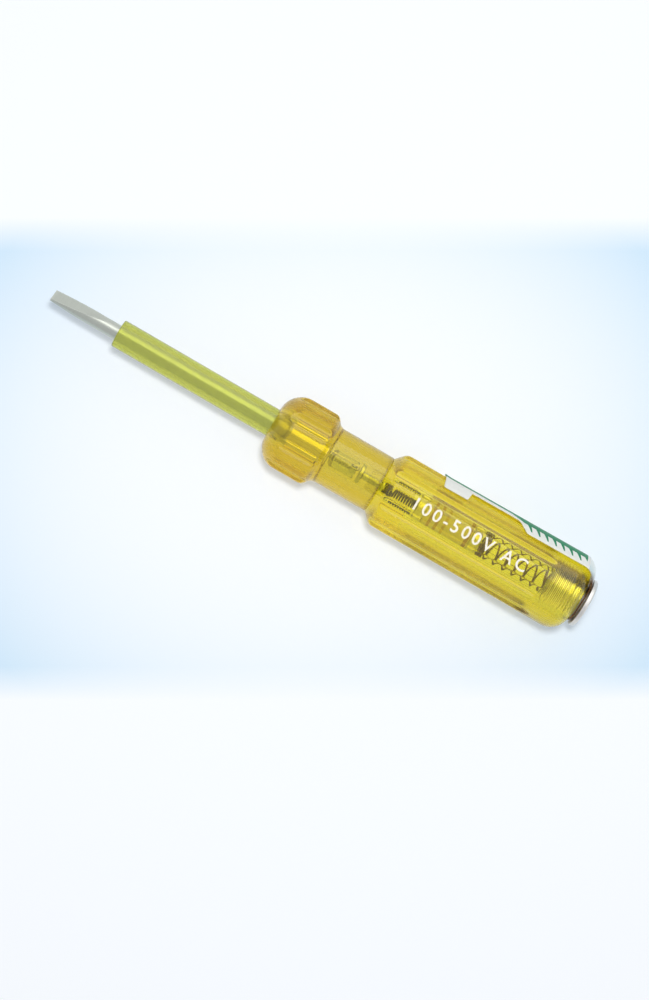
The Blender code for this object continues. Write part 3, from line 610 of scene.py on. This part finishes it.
def make_end_plug():
    head_round = arc((PLUG_END - 0.45, PLUG_HEAD_RADIUS - 0.45), 0.45, math.pi / 2, 0, 7)
    thread_start = (PLUG_NOSE + 0.5, PLUG_THREAD_MEAN)
    outline = [(PLUG_NOSE, 0), (PLUG_NOSE, 3.0), (PLUG_NOSE + 0.1, 3.1), (PLUG_NOSE + 0.4, PLUG_NECK_RADIUS)]
    outline += run(thread_start, (PLUG_HEAD - 1.0, PLUG_THREAD_MEAN), THREAD_PITCH / THREAD_STEPS)
    outline += [(PLUG_HEAD - 0.9, PLUG_NECK_RADIUS), (PLUG_HEAD, PLUG_NECK_RADIUS)]
    outline += [(PLUG_HEAD, PLUG_HEAD_RADIUS - 0.12), (PLUG_HEAD + 0.12, PLUG_HEAD_RADIUS)]
    outline += head_round + [(PLUG_END, 0)]
    plug = turned("end_plug_turned", outline, 120)

    def rule(station, radius, turn):
        if abs(radius - PLUG_THREAD_MEAN) > 0.02:
            return station, radius, turn
        fade = max(0, min(1, (station - PLUG_NOSE - 0.4) / 0.5, (PLUG_HEAD - 0.95 - station) / 0.4))
        return station, radius + fade * THREAD_DEPTH / 2 * thread_wave(station, turn), turn

    reshape(plug, rule)
    bpy.ops.object.select_all(action="DESELECT")
    bpy.ops.mesh.primitive_cube_add(size=2 * MM, location=at(PLUG_END, 0))
    cutter = named("slot_cutter")
    cutter.scale = (PLUG_SLOT_DEPTH, 2 * PLUG_HEAD_RADIUS, PLUG_SLOT_WIDTH / 2)
    bpy.ops.object.transform_apply(location=True, rotation=True, scale=True)
    apply_modifier(plug, "BOOLEAN", operation="DIFFERENCE", object=cutter, solver="EXACT")
    bpy.data.objects.remove(cutter)
    return plug


def clip_half_width(station):
    """Half of the clip's width along its arc: foot, waist, flare and the wide part."""
    corner = 0.6
    along = station - CLIP_FRONT
    if along < corner:
        return CLIP_HALF_WIDTH - corner + math.sqrt(corner**2 - (corner - along) ** 2)
    steps = ((CLIP_FOOT_END, CLIP_WAIST_START, CLIP_HALF_WIDTH, CLIP_HALF_WAIST),)
    steps += ((CLIP_WAIST_END, CLIP_FLARE_END, CLIP_HALF_WAIST, CLIP_HALF_WIDTH),)
    width = CLIP_HALF_WIDTH
    for start, end, before, after in steps:
        share = min(max((station - start) / (end - start), 0), 1)
        width += (after - before) * share**2 * (3 - 2 * share)
    return width


def clip_rows():
    """The clip's inner surface as rows across it: station, radius and half angle."""
    bend_start = CLIP_PLATE - CLIP_BEND
    stations = [CLIP_FRONT + along for along in (0, 0.08, 0.2, 0.38, 0.6, 1.0, 1.6)]
    for start, end, step in (
        (CLIP_FRONT + 2.4, CLIP_FOOT_END, 0.8),
        (CLIP_FOOT_END, CLIP_WAIST_START, 0.05),
        (CLIP_WAIST_START, CLIP_WAIST_END, 1.0),
        (CLIP_WAIST_END, CLIP_FLARE_END, 0.2),
        (CLIP_FLARE_END, bend_start, 1.0),
    ):
        stations += [station for (station,) in run((start,), (end,), step)]
    stations.append(bend_start)
    rows = []
    for station in stations:
        share = (station - CLIP_FRONT) / (bend_start - CLIP_FRONT)
        lip = max(0, 1 - (station - CLIP_FRONT) / 1.4) ** 2 * 0.14
        radius = CLIP_FOOT_RADIUS + (CLIP_REAR_RADIUS - CLIP_FOOT_RADIUS) * share
        rows.append((station, radius + lip, clip_half_width(station) / radius))
    # Past the bend the edges run straight to the ring, as seen from the end.
    radius, half_angle = rows[-1][1:]
    slope = math.atan2(radius * math.sin(half_angle) - CLIP_RING, radius * math.cos(half_angle))
    edge_reach = CLIP_RING * math.cos(slope)
    for station, height in arc((bend_start, radius - CLIP_BEND), CLIP_BEND, math.pi / 2, 0, 12)[1:]:
        rows.append((station, height, slope + math.pi / 2 - math.acos(edge_reach / height)))
    rows.append((CLIP_PLATE, CLIP_RING, math.pi / 2))
    return rows


def make_clip():
    """One sheet: a grid is bent over the grip, a flat ring is merged to its last row, and both get a wall."""
    rows = clip_rows()
    bpy.ops.object.select_all(action="DESELECT")
    bpy.ops.mesh.primitive_grid_add(x_subdivisions=len(rows) - 1, y_subdivisions=CLIP_COLUMNS, size=2)
    clip = named("clip_sheet")
    for corner in clip.data.vertices:
        row = round((corner.co.x + 1) / 2 * (len(rows) - 1))
        across = corner.co.y
        station, radius, half_angle = rows[row]
        slant = CLIP_FOOT_SLANT * abs(across) * max(0, 1 - (station - CLIP_FRONT) / 2.0)
        corner.co = at(station + slant, radius, math.pi / 2 + across * half_angle)
    bpy.ops.object.select_all(action="DESELECT")
    bpy.ops.mesh.primitive_circle_add(
        vertices=2 * CLIP_COLUMNS,
        radius=CLIP_RING * MM,
        location=at(CLIP_PLATE, 0),
        rotation=(0, math.pi / 2, 0),
    )
    ring = named("clip_ring")
    bpy.ops.object.transform_apply(location=True, rotation=True, scale=True)
    open_mesh(ring)
    bpy.ops.mesh.extrude_edges_move()
    narrower = CLIP_HOLE / CLIP_RING
    bpy.ops.transform.resize(value=(1, narrower, narrower), center_override=at(CLIP_PLATE, 0))
    bpy.ops.object.mode_set(mode="OBJECT")
    clip.select_set(True)
    bpy.context.view_layer.objects.active = clip
    bpy.ops.object.join()
    open_mesh(clip)
    bpy.ops.mesh.remove_doubles(threshold=0.00002)
    close_mesh(clip)
    apply_modifier(clip, "SOLIDIFY", thickness=CLIP_THICKNESS * MM, offset=1, use_even_offset=True)
    bevel = {"width": CLIP_EDGE * MM, "segments": 2, "limit_method": "ANGLE"}
    apply_modifier(clip, "BEVEL", **bevel, angle_limit=math.radians(50))
    open_mesh(clip)
    return close_mesh(clip, 40)


def make_marking():
    """Plain hot-stamped figures on the land that faces up."""
    bpy.ops.object.select_all(action="DESELECT")
    bpy.ops.object.text_add()
    text = named("voltage_marking")
    text.data.body = MARKING
    text.data.space_character = 1.35
    text.data.offset = 0.012
    text.data.resolution_u = 6
    bpy.ops.object.convert(target="MESH")
    text = bpy.context.object
    open_mesh(text)
    bpy.ops.mesh.extrude_region_move(TRANSFORM_OT_translate={"value": (0, 0, 0.1)})
    close_mesh(text, 30)
    points = [corner.co.copy() for corner in text.data.vertices]
    low = [min(point[i] for point in points) for i in range(3)]
    high = [max(point[i] for point in points) for i in range(3)]
    across = GRIP_ACROSS / 2
    for corner, point in zip(text.data.vertices, points):
        share = [(point[i] - low[i]) / (high[i] - low[i]) for i in range(3)]
        station = MARKING_START + (MARKING_END - MARKING_START) * share[0]
        sideways = MARKING_OFFSET + (share[1] - 0.5) * MARKING_HEIGHT
        corner.co = AXIS + Vector((station, sideways, across + MARKING_PROUD * (share[2] * 2 - 1))) * MM
    return text


# Materials


def linear(hex_colour):
    """The linear RGBA value of an sRGB hex colour."""
    channels = [int(hex_colour[i : i + 2], 16) / 255 for i in (1, 3, 5)]
    return [c / 12.92 if c <= 0.04045 else ((c + 0.055) / 1.055) ** 2.4 for c in channels] + [1]


def result(made):
    """The first output that a node's settings leave in use."""
    return next(socket for socket in made.outputs if socket.enabled)


def add(tree, kind, inputs, **settings):
    """Adds a node with its settings, and gives each input a value, a hex colour or a link from a node."""
    made = tree.nodes.new(kind)
    for setting, value in settings.items():
        setattr(made, setting, value)
    for socket, value in inputs.items():
        if isinstance(value, bpy.types.Node):
            value = result(value)
        if isinstance(value, bpy.types.NodeSocket):
            tree.links.new(value, made.inputs[socket])
        else:
            made.inputs[socket].default_value = linear(value) if isinstance(value, str) else value
    return made


def new_finish(name, colour, roughness, metallic=0.0, **sockets):
    """A material with one shader, and the place in mm from the tip that its patterns read."""
    made = bpy.data.materials.new(name)
    made.use_nodes = True
    tree = made.node_tree
    shader = tree.nodes["Principled BSDF"]
    shader.inputs["Base Color"].default_value = linear(colour)
    shader.inputs["Roughness"].default_value = roughness
    shader.inputs["Metallic"].default_value = metallic
    for socket, value in sockets.items():
        shader.inputs[socket.replace("_", " ")].default_value = value
    coordinates = add(tree, "ShaderNodeTexCoord", {})
    from_tip = {"Location": -AXIS / MM, "Scale": (1 / MM, 1 / MM, 1 / MM)}
    place = add(tree, "ShaderNodeMapping", {"Vector": coordinates.outputs["Object"], **from_tip})
    return made, tree, shader, place


def grain(tree, place, along, across, detail):
    """A noise with a grain length along the axis and a grain width across it, in mm."""
    shrunk = add(tree, "ShaderNodeMapping", {"Vector": place, "Scale": (1 / along, 1 / across, 1 / across)})
    return add(tree, "ShaderNodeTexNoise", {"Vector": shrunk, "Scale": 1, "Detail": detail})


def around(tree, place, aside, straight):
    """The place's axes, its radius, and its turn from a straight axis to either side."""
    axes = add(tree, "ShaderNodeSeparateXYZ", {0: place})
    flat = add(tree, "ShaderNodeCombineXYZ", {"Y": axes.outputs["Y"], "Z": axes.outputs["Z"]})
    radius = add(tree, "ShaderNodeVectorMath", {0: flat}, operation="LENGTH")
    pair = {0: axes.outputs[aside], 1: axes.outputs[straight]}
    turn = add(tree, "ShaderNodeMath", pair, operation="ARCTAN2")
    turn = add(tree, "ShaderNodeMath", {0: turn}, operation="ABSOLUTE")
    return axes, radius, turn


def finish_with(tree, shader, colour, rough, height, strength, depth):
    """Gives the shader its colour, its roughness and a bump of a depth in mm."""
    bump = add(tree, "ShaderNodeBump", {"Strength": strength, "Distance": depth * MM, "Height": height})
    for socket, made in (("Base Color", colour), ("Roughness", rough), ("Normal", bump)):
        tree.links.new(result(made), shader.inputs[socket])


def fill_with(tree, colour, density):
    """Clear plastic takes its colour from the depth that light passes through."""
    depth = add(tree, "ShaderNodeVolumeAbsorption", {"Color": colour, "Density": density})
    tree.links.new(result(depth), tree.nodes["Material Output"].inputs["Volume"])


def make_blade_finish():
    """Nickel plated tool steel: drawn lines along the rod, ground lines across the flats, a worn tip."""
    made, tree, shader, place = new_finish("nickel_plated_tool_steel", "#B9BCB0", 0.3, 1.0)
    drawn = grain(tree, place, 9.0, 0.16, 3)
    ground = grain(tree, place, 0.1, 1.6, 3)
    station = add(tree, "ShaderNodeSeparateXYZ", {0: place})
    on_flat = add(tree, "ShaderNodeMath", {0: station, 1: BLADE_FLAT_LENGTH - 0.6}, operation="LESS_THAN")
    lines = add(tree, "ShaderNodeMix", {"Factor": on_flat, 2: drawn, 3: ground})
    ends = {"From Min": 0.05, "From Max": 0.7, "To Min": 0.5, "To Max": 0}
    worn = add(tree, "ShaderNodeMapRange", {"Value": station, **ends})
    tone = add(tree, "ShaderNodeMath", {0: lines, 1: worn}, operation="ADD", use_clamp=True)
    plated = add(tree, "ShaderNodeMix", {"Factor": tone, 6: "#B8BBAF", 7: "#CCCFC4"}, data_type="RGBA")
    ends = {"From Min": 0.3, "From Max": 0.7, "To Min": 0.3, "To Max": 0.42}
    rough = add(tree, "ShaderNodeMapRange", {"Value": lines, **ends})
    # Under the tube the plating has kept its polish, so it is smoother there, and its paler colour there is
    # painted light that brightens the band seen through the tube.
    bare = add(tree, "ShaderNodeMath", {0: station, 1: SLEEVE_FRONT}, operation="LESS_THAN")
    colour = add(tree, "ShaderNodeMix", {"Factor": bare, 6: "#F2F3EC", 7: plated}, data_type="RGBA")
    rough = add(tree, "ShaderNodeMix", {"Factor": bare, 2: 0.16, 3: rough})
    finish_with(tree, shader, colour, rough, lines, 0.05, 0.005)
    return made


def make_sleeve_finish():
    """Extruded clear vinyl tube: yellow-green, a little hazy, with fine draw lines along it."""
    plastic = {"IOR": 1.5, "Transmission_Weight": SLEEVE_CLEARNESS}
    made, tree, shader, place = new_finish("extruded_vinyl_tube", "#F0F4A8", 0.2, **plastic)
    lines = grain(tree, place, 40.0, 0.5, 3)
    drawn = add(tree, "ShaderNodeMix", {"Factor": lines, 6: "#D8DB92", 7: "#DEE19D"}, data_type="RGBA")
    # Inside the collar the tube is painted nearly white: painted light that brightens it where it is seen
    # through the collar.
    station = add(tree, "ShaderNodeSeparateXYZ", {0: place})
    ends = {"From Min": COLLAR_FRONT, "From Max": COLLAR_FRONT + 1.5}
    lightened_in_collar = add(tree, "ShaderNodeMapRange", {"Value": station, **ends})
    colour = add(tree, "ShaderNodeMix", {"Factor": lightened_in_collar, 6: drawn, 7: "#FEFEEC"}, data_type="RGBA")
    ends = {"From Min": 0.3, "From Max": 0.7, "To Min": 0.16, "To Max": 0.26}
    rough = add(tree, "ShaderNodeMapRange", {"Value": lines, **ends})
    finish_with(tree, shader, colour, rough, lines, 0.02, 0.01)
    fill_with(tree, SLEEVE_DEPTH_COLOUR, SLEEVE_DEPTH_DENSITY)
    return made


def make_handle_finish(name, dark, light):
    """Clear cellulose acetate, milled and then buffed on top: glossy amber there, satin on the flanks."""
    plastic = {"IOR": 1.48, "Transmission_Weight": HANDLE_CLEARNESS}
    made, tree, shader, place = new_finish(name, light, 0.07, **plastic)
    clouds = grain(tree, place, 7.0, 3.0, 2)
    skin = add(tree, "ShaderNodeMix", {"Factor": clouds, 6: dark, 7: light}, data_type="RGBA")
    # Near the axis the bores are painted a paler colour: painted light that brightens what is seen through
    # the middle of the handle.
    axes, radius, turn = around(tree, place, "Y", "Z")
    ends = {"From Min": PAINTED_LIGHT_RADIUS, "From Max": PAINTED_LIGHT_RADIUS + 0.5}
    out = add(tree, "ShaderNodeMapRange", {"Value": radius, **ends})
    colour = add(tree, "ShaderNodeMix", {"Factor": out, 6: BORE_PAINTED_LIGHT, 7: skin}, data_type="RGBA")
    marks = grain(tree, place, 5.0, 0.4, 4)
    ends = {"From Min": 0.35, "From Max": 0.75, "To Min": 0.04, "To Max": 0.14}
    polished = add(tree, "ShaderNodeMapRange", {"Value": marks, **ends})
    # The land for the marking and its two flutes were buffed, and the flanks keep the cutter's satin.
    ends = {"From Min": BUFFED_TURN, "From Max": BUFFED_TURN + 0.12, "To Min": 0, "To Max": HANDLE_SATIN}
    satin = add(tree, "ShaderNodeMapRange", {"Value": turn, **ends})
    satin = add(tree, "ShaderNodeMath", {0: satin, 1: out}, operation="MULTIPLY")
    rough = add(tree, "ShaderNodeMath", {0: polished, 1: satin}, operation="ADD")
    # The thread in the rear bore is cut, and a little matt.
    threaded = add(tree, "ShaderNodeMath", {0: axes, 1: THREAD_FRONT}, operation="GREATER_THAN")
    inside = add(tree, "ShaderNodeMath", {0: threaded, 1: out}, operation="SUBTRACT", use_clamp=True)
    rough = add(tree, "ShaderNodeMath", {0: inside, 1: THREAD_MATT, 2: rough}, operation="MULTIPLY_ADD")
    waves = grain(tree, place, 3.0, 1.6, 2)
    finish_with(tree, shader, colour, rough, waves, 0.15, 0.01)
    fill_with(tree, HANDLE_DEPTH_COLOUR, HANDLE_DEPTH_DENSITY)
    return made


def make_glass_finish():
    """Soda-lime lamp glass: thin, clear and fire-polished, with faint flow waves."""
    glass = {"IOR": 1.5, "Transmission_Weight": 1.0}
    made, tree, shader, place = new_finish("soda_lime_lamp_glass", "#F2F6F2", 0.03, **glass)
    flow = grain(tree, place, 4.0, 0.8, 1)
    colour = add(tree, "ShaderNodeMix", {"Factor": flow, 6: "#E9EFEA", 7: "#FBFDFB"}, data_type="RGBA")
    rough = add(tree, "ShaderNodeMapRange", {"Value": flow, "To Min": 0.02, "To Max": 0.06})
    finish_with(tree, shader, colour, rough, flow, 0.3, 0.03)
    return made


def make_metal_finish(name, dark, light, roughness, clouds, turning):
    """A small metal piece: cloudy plating or oxide over fine turning or drawing lines."""
    made, tree, shader, place = new_finish(name, light, roughness, 1.0)
    cloudy = add(tree, "ShaderNodeTexNoise", {"Vector": place, "Scale": 1 / clouds, "Detail": 3})
    colour = add(tree, "ShaderNodeMix", {"Factor": cloudy, 6: dark, 7: light}, data_type="RGBA")
    lines = grain(tree, place, turning, 1.5, 2)
    ends = {"From Min": 0.3, "From Max": 0.7, "To Min": roughness - 0.08, "To Max": roughness + 0.1}
    rough = add(tree, "ShaderNodeMapRange", {"Value": lines, **ends})
    finish_with(tree, shader, colour, rough, lines, 0.3, 0.01)
    return made


def make_resistor_finish():
    """Carbon film resistor lacquer: cream, half gloss, with brown, tan and gold rings painted round it."""
    made, tree, shader, place = new_finish("resistor_lacquer", "#E2CE98", 0.4)
    station = add(tree, "ShaderNodeSeparateXYZ", {0: place})
    mottle = add(tree, "ShaderNodeTexNoise", {"Vector": place, "Scale": 1.6, "Detail": 3})
    ragged = add(tree, "ShaderNodeMath", {0: mottle, 1: 0.12, 2: station}, operation="MULTIPLY_ADD")
    colour = add(tree, "ShaderNodeMix", {"Factor": mottle, 6: "#F0E6C2", 7: "#F8F1D8"}, data_type="RGBA")
    for middle, half_width, paint in RESISTOR_RINGS:
        band = {0: ragged, 1: middle + 0.06, 2: half_width}
        inside = add(tree, "ShaderNodeMath", band, operation="COMPARE")
        colour = add(tree, "ShaderNodeMix", {"Factor": inside, 6: colour, 7: paint}, data_type="RGBA")
    rough = add(tree, "ShaderNodeMapRange", {"Value": mottle, "To Min": 0.3, "To Max": 0.55})
    finish_with(tree, shader, colour, rough, mottle, 0.3, 0.04)
    return made


def make_clip_finish():
    """Bright plated sheet, enamelled outside: a green spine with white strokes fanning off the wide part."""
    made, tree, shader, place = new_finish("enamelled_plated_sheet", "#D9DBD3", 0.4, Specular_IOR_Level=0.2)
    axes, radius, turn = around(tree, place, "Z", "Y")
    outside = CLIP_REAR_RADIUS + CLIP_THICKNESS
    from_spine = add(tree, "ShaderNodeMath", {0: turn, 1: outside}, operation="MULTIPLY")
    # The enamel lies on the outer face only, and the tin shows inside.
    ends = {
        "From Min": CLIP_FRONT,
        "From Max": CLIP_PLATE - CLIP_BEND,
        "To Min": CLIP_FOOT_RADIUS + CLIP_THICKNESS / 2,
        "To Max": CLIP_REAR_RADIUS + CLIP_THICKNESS / 2,
    }
    middle = add(tree, "ShaderNodeMapRange", {"Value": axes, **ends})
    outer = add(tree, "ShaderNodeMath", {0: radius, 1: middle}, operation="GREATER_THAN")
    ends = {"From Min": GREEN_START, "From Max": GREEN_START + 3.0}
    ends |= {"To Min": SPINE_NARROW, "To Max": SPINE_WIDE}
    wide = add(tree, "ShaderNodeMapRange", {"Value": axes, **ends})
    spine = add(tree, "ShaderNodeMath", {0: from_spine, 1: wide}, operation="LESS_THAN")
    # Strokes: the distance along the clip less a slant, in strokes
    slant = {0: from_spine, 1: -STROKE_SLANT, 2: axes}
    slanted = add(tree, "ShaderNodeMath", slant, operation="MULTIPLY_ADD")
    phase = add(tree, "ShaderNodeMath", {0: slanted, 1: STROKE_PITCH}, operation="DIVIDE")
    phase = add(tree, "ShaderNodeMath", {0: phase}, operation="FRACT")
    ends = {"From Min": SPINE_WIDE, "From Max": STROKES_REACH, "To Min": 0.45, "To Max": 0.16}
    slit = add(tree, "ShaderNodeMapRange", {"Value": from_spine, **ends})
    between = add(tree, "ShaderNodeMath", {0: phase, 1: slit}, operation="LESS_THAN")
    short = add(tree, "ShaderNodeMath", {0: from_spine, 1: STROKES_REACH}, operation="LESS_THAN")
    between = add(tree, "ShaderNodeMath", {0: between, 1: short}, operation="MULTIPLY")
    started = add(tree, "ShaderNodeMath", {0: slanted, 1: STROKES_START}, operation="GREATER_THAN")
    ended = add(tree, "ShaderNodeMath", {0: axes, 1: GREEN_END}, operation="LESS_THAN")
    slits = add(tree, "ShaderNodeMath", {0: between, 1: started}, operation="MULTIPLY")
    green = add(tree, "ShaderNodeMath", {0: spine, 1: slits}, operation="MAXIMUM")
    green = add(tree, "ShaderNodeMath", {0: green, 1: ended}, operation="MULTIPLY")
    green = add(tree, "ShaderNodeMath", {0: green, 1: outer}, operation="MULTIPLY")
    smudge = add(tree, "ShaderNodeTexNoise", {"Vector": place, "Scale": 0.9, "Detail": 3})
    white = add(tree, "ShaderNodeMix", {"Factor": smudge, 6: "#E0E0D6", 7: "#F5F4EC"}, data_type="RGBA")
    paint = add(tree, "ShaderNodeMix", {"Factor": smudge, 6: "#0E7549", 7: "#1C925F"}, data_type="RGBA")
    colour = add(tree, "ShaderNodeMix", {"Factor": green, 6: white, 7: paint}, data_type="RGBA")
    # The ring under the plug's head and the plate beside it are painted dark brown, fading out towards the
    # bend: painted shade in the gap between the head and the handle's end.
    ends = {"From Min": CLIP_RING - 0.5, "From Max": CLIP_RING + 1.8, "To Min": 1, "To Max": 0}
    ring = add(tree, "ShaderNodeMapRange", {"Value": axes.outputs["Y"], **ends})
    colour = add(tree, "ShaderNodeMix", {"Factor": ring, 6: colour, 7: "#6E4C2C"}, data_type="RGBA")
    bare = add(tree, "ShaderNodeMapRange", {"Value": outer, "To Min": 1.0, "To Max": 0.1})
    tree.links.new(result(bare), shader.inputs["Metallic"])
    ends = {"From Min": 0.3, "From Max": 0.7, "To Min": 0.1, "To Max": 0.2}
    worn = add(tree, "ShaderNodeMapRange", {"Value": smudge, **ends})
    rough = add(tree, "ShaderNodeMath", {0: outer, 1: 0.3, 2: worn}, operation="MULTIPLY_ADD")
    height = add(tree, "ShaderNodeMath", {0: green, 1: 0.6, 2: smudge}, operation="MULTIPLY_ADD")
    finish_with(tree, shader, colour, rough, height, 0.3, 0.02)
    return made


def make_marking_finish():
    """Hot-stamped white foil: matt, a little thin and broken in places."""
    made, tree, shader, place = new_finish("stamped_white_foil", "#F7F3E6", 0.5)
    wear = add(tree, "ShaderNodeTexNoise", {"Vector": place, "Scale": 3.0, "Detail": 4})
    worn = add(tree, "ShaderNodeMapRange", {"Value": wear, "From Min": 0.3, "From Max": 0.5})
    colour = add(tree, "ShaderNodeMix", {"Factor": worn, 6: "#E8DDAC", 7: "#F5F0E2"}, data_type="RGBA")
    rough = add(tree, "ShaderNodeMapRange", {"Value": wear, "To Min": 0.4, "To Max": 0.65})
    finish_with(tree, shader, colour, rough, wear, 0.2, 0.01)
    return made


# Studio


def seen_by(tree, start, shares):
    """Adds a share to a start value for camera, for glossy and for transmitted rays."""
    path = add(tree, "ShaderNodeLightPath", {})
    total = start
    for ray, share in zip(("Is Camera Ray", "Is Glossy Ray", "Is Transmission Ray"), shares):
        more = {0: path.outputs[ray], 1: share, 2: total}
        total = add(tree, "ShaderNodeMath", more, operation="MULTIPLY_ADD")
    return total


def make_floor():
    """A pale board that turns faintly blue away from the tool."""
    bpy.ops.object.select_all(action="DESELECT")
    bpy.ops.mesh.primitive_plane_add(size=FLOOR_SIZE, location=(0, 0, -FLOOR_GAP))
    floor = named("floor")
    bpy.ops.object.transform_apply(location=True)
    made, tree, shader, _ = new_finish("pale_board", FLOOR_COLOUR, 0.9, Specular_IOR_Level=0.1)
    coordinates = add(tree, "ShaderNodeTexCoord", {})
    # From the picture's middle, turned to the picture, in halves of its width and of the pale band's height
    placed = add(
        tree,
        "ShaderNodeMapping",
        {
            "Vector": coordinates.outputs["Object"],
            "Location": (*BAND_MIDDLE, 0),
            "Rotation": (0, 0, PHOTO_TURN),
            "Scale": (*BAND_HALVES, 1),
        },
        vector_type="TEXTURE",
    )
    axes = add(tree, "ShaderNodeSeparateXYZ", {0: placed})
    across = add(tree, "ShaderNodeMath", {0: axes.outputs["X"], 1: axes.outputs["X"]}, operation="MULTIPLY")
    up = add(tree, "ShaderNodeMath", {0: axes.outputs["Y"], 1: axes.outputs["Y"]}, operation="MULTIPLY")
    away = add(tree, "ShaderNodeMath", {0: up, 1: FLOOR_UP_SHARE, 2: across}, operation="MULTIPLY_ADD")
    away = add(tree, "ShaderNodeMath", {0: away, 1: FLOOR_BLUE_REACH}, operation="DIVIDE", use_clamp=True)
    away = add(tree, "ShaderNodeMath", {0: away, 1: FLOOR_BLUE_POWER}, operation="POWER")
    # The blue fades out beyond the band.
    ends = {"From Min": 1, "From Max": FLOOR_BLUE_END, "To Min": 1, "To Max": 0}
    fade = add(tree, "ShaderNodeMapRange", {"Value": up, **ends})
    blue = add(tree, "ShaderNodeMath", {0: away, 1: fade}, operation="MULTIPLY")
    colours = {"Factor": blue, 6: FLOOR_COLOUR, 7: FLOOR_EDGE_COLOUR}
    colour = add(tree, "ShaderNodeMix", colours, data_type="RGBA")
    tree.links.new(result(colour), shader.inputs["Base Color"])
    # Camera, glossy and transmitted rays also get the board's own colour as plain background, far off in
    # full. A refracted ray counts as both of the last two, and the mix of the shaders stops at 1.
    off = add(tree, "ShaderNodeVectorMath", {0: coordinates.outputs["Object"]}, operation="LENGTH")
    ends = {"From Min": FLOOR_FAR[0], "From Max": FLOOR_FAR[1], "To Min": FLOOR_GLOW[0]}
    near = add(tree, "ShaderNodeMapRange", {"Value": off, **ends})
    glow = seen_by(tree, 0, (near, *FLOOR_GLOW[1:]))
    plain = add(tree, "ShaderNodeEmission", {"Color": colour})
    both = add(tree, "ShaderNodeMixShader", {0: glow, 1: shader, 2: plain})
    tree.links.new(result(both), tree.nodes["Material Output"].inputs["Surface"])
    floor.data.materials.append(made)


def make_light(name, place, size, power, mirrored):
    bpy.ops.object.light_add(type="AREA", location=place)
    light = named(name)
    light.data.shape = "RECTANGLE"
    light.data.size, light.data.size_y = size
    light.data.energy = power
    light.visible_diffuse = not mirrored
    light.visible_glossy = mirrored
    light.visible_transmission = mirrored
    light.rotation_euler = (Vector(LIGHTS_AIM) - Vector(place)).to_track_quat("-Z", "Y").to_euler()


def make_studio():
    world = bpy.data.worlds.new("studio")
    bpy.context.scene.world = world
    world.use_nodes = True
    background = world.node_tree.nodes["Background"]
    background.inputs["Color"].default_value = linear("#F4F8FF")
    strength = seen_by(world.node_tree, WORLD_STRENGTH, WORLD_SEEN)
    world.node_tree.links.new(result(strength), background.inputs["Strength"])
    for light in LIGHTS:
        make_light(*light)
    bpy.ops.object.camera_add(location=CAMERA_PLACE, rotation=(0, 0, PHOTO_TURN))
    camera = named("photo_camera")
    camera.data.lens = CAMERA_LENS
    camera.data.sensor_width = 36
    camera.data.shift_x, camera.data.shift_y = CAMERA_SHIFT
    camera.data.clip_start = 0.01
    bpy.context.scene.camera = camera
    bpy.context.scene.view_settings.view_transform = "Standard"


# Assembly


def make_tool():
    # The front copy of the acetate is painted darker and greyer than the rear one: painted shade over the
    # collar and neck.
    front_acetate = make_handle_finish("polished_cellulose_acetate_front", "#DFD088", "#E6D896")
    rear_acetate = make_handle_finish("polished_cellulose_acetate_rear", "#F4EF9C", "#F9F6AC")
    glass = make_glass_finish()
    nickel = make_metal_finish("nickel_wire", "#C4C2B9", "#EEECE6", 0.22, 1.2, 0.4)
    blued_wire = make_metal_finish("blued_spring_wire", "#3A3020", "#655338", 0.36, 0.8, 0.2)
    drawn_wire = make_metal_finish("drawn_spring_wire", "#5C4526", "#8C6C3E", 0.36, 0.8, 0.2)
    fit(make_front_handle(), front_acetate, "handle", "handle_plastic", "front_handle")
    fit(make_rear_handle(), rear_acetate, "handle", "handle_plastic", "rear_handle")
    fit(make_sleeve(), make_sleeve_finish(), "handle", "sleeve_plastic", "blade_sleeve")
    fit(make_blade(), make_blade_finish(), "handle", "blade_steel", "blade")
    fit(make_lamp_glass(), glass, "handle", "lamp_glass", "lamp_glass")
    fit(make_lamp_pinch(), glass, "handle", "lamp_glass", "lamp_seal")
    plated = make_metal_finish("nickel_plated_brass", "#C4CDD0", "#EEF3F4", 0.3, 1.5, 0.15)
    fit(make_contact(), plated, "handle", "contact_brass", "lamp_contact")
    front_sizes = (FRONT_SPRING_RADIUS, FRONT_SPRING_WIRE, FRONT_SPRING_CURLS, CLOSED_CURLS)
    front_spring = make_spring("wound_front_spring", FRONT_SPRING, *front_sizes)
    fit(front_spring, blued_wire, "handle", "spring_wire", "front_spring")
    rear_sizes = (REAR_SPRING_RADIUS, REAR_SPRING_WIRE, REAR_SPRING_CURLS, REAR_SPRING_CLOSED_CURLS)
    rear_spring = make_spring("wound_rear_spring", REAR_SPRING, *rear_sizes)
    fit(rear_spring, drawn_wire, "spring", "spring_wire", "rear_spring")
    fit(make_resistor_body(), make_resistor_finish(), "handle", "resistor_coat", "resistor_body")
    tinned = make_metal_finish("tinned_steel_cap", "#D4D0C2", "#F0EDE2", 0.32, 0.9, 0.3)
    for name, end, side in (("front", RESISTOR_FRONT, 1), ("rear", RESISTOR_REAR, -1)):
        cap = make_resistor_cap(f"pressed_cap_{name}", end, side)
        fit(cap, tinned, "handle", "nickel", f"resistor_cap_{name}")
    turned_nickel = make_metal_finish("turned_nickel_plate", "#D2CFC8", "#EEEBE5", 0.42, 2.2, 0.12)
    fit(make_end_plug(), turned_nickel, "plug", "plug_metal", "end_plug")
    fit(make_clip(), make_clip_finish(), "clip", "clip_enamel", "pocket_clip")
    marking = make_marking()
    marking.data.materials.append(make_marking_finish())
    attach(marking, "handle")
    for node in (
        "lamp_electrode_upper",
        "lamp_electrode_lower",
        "lamp_lead_front",
        "lamp_lead_rear",
        "resistor_lead_front",
        "resistor_lead_rear",
    ):
        for index in range(len(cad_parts[node].data.materials)):
            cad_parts[node].data.materials[index] = nickel


make_tool()
make_floor()
make_studio()
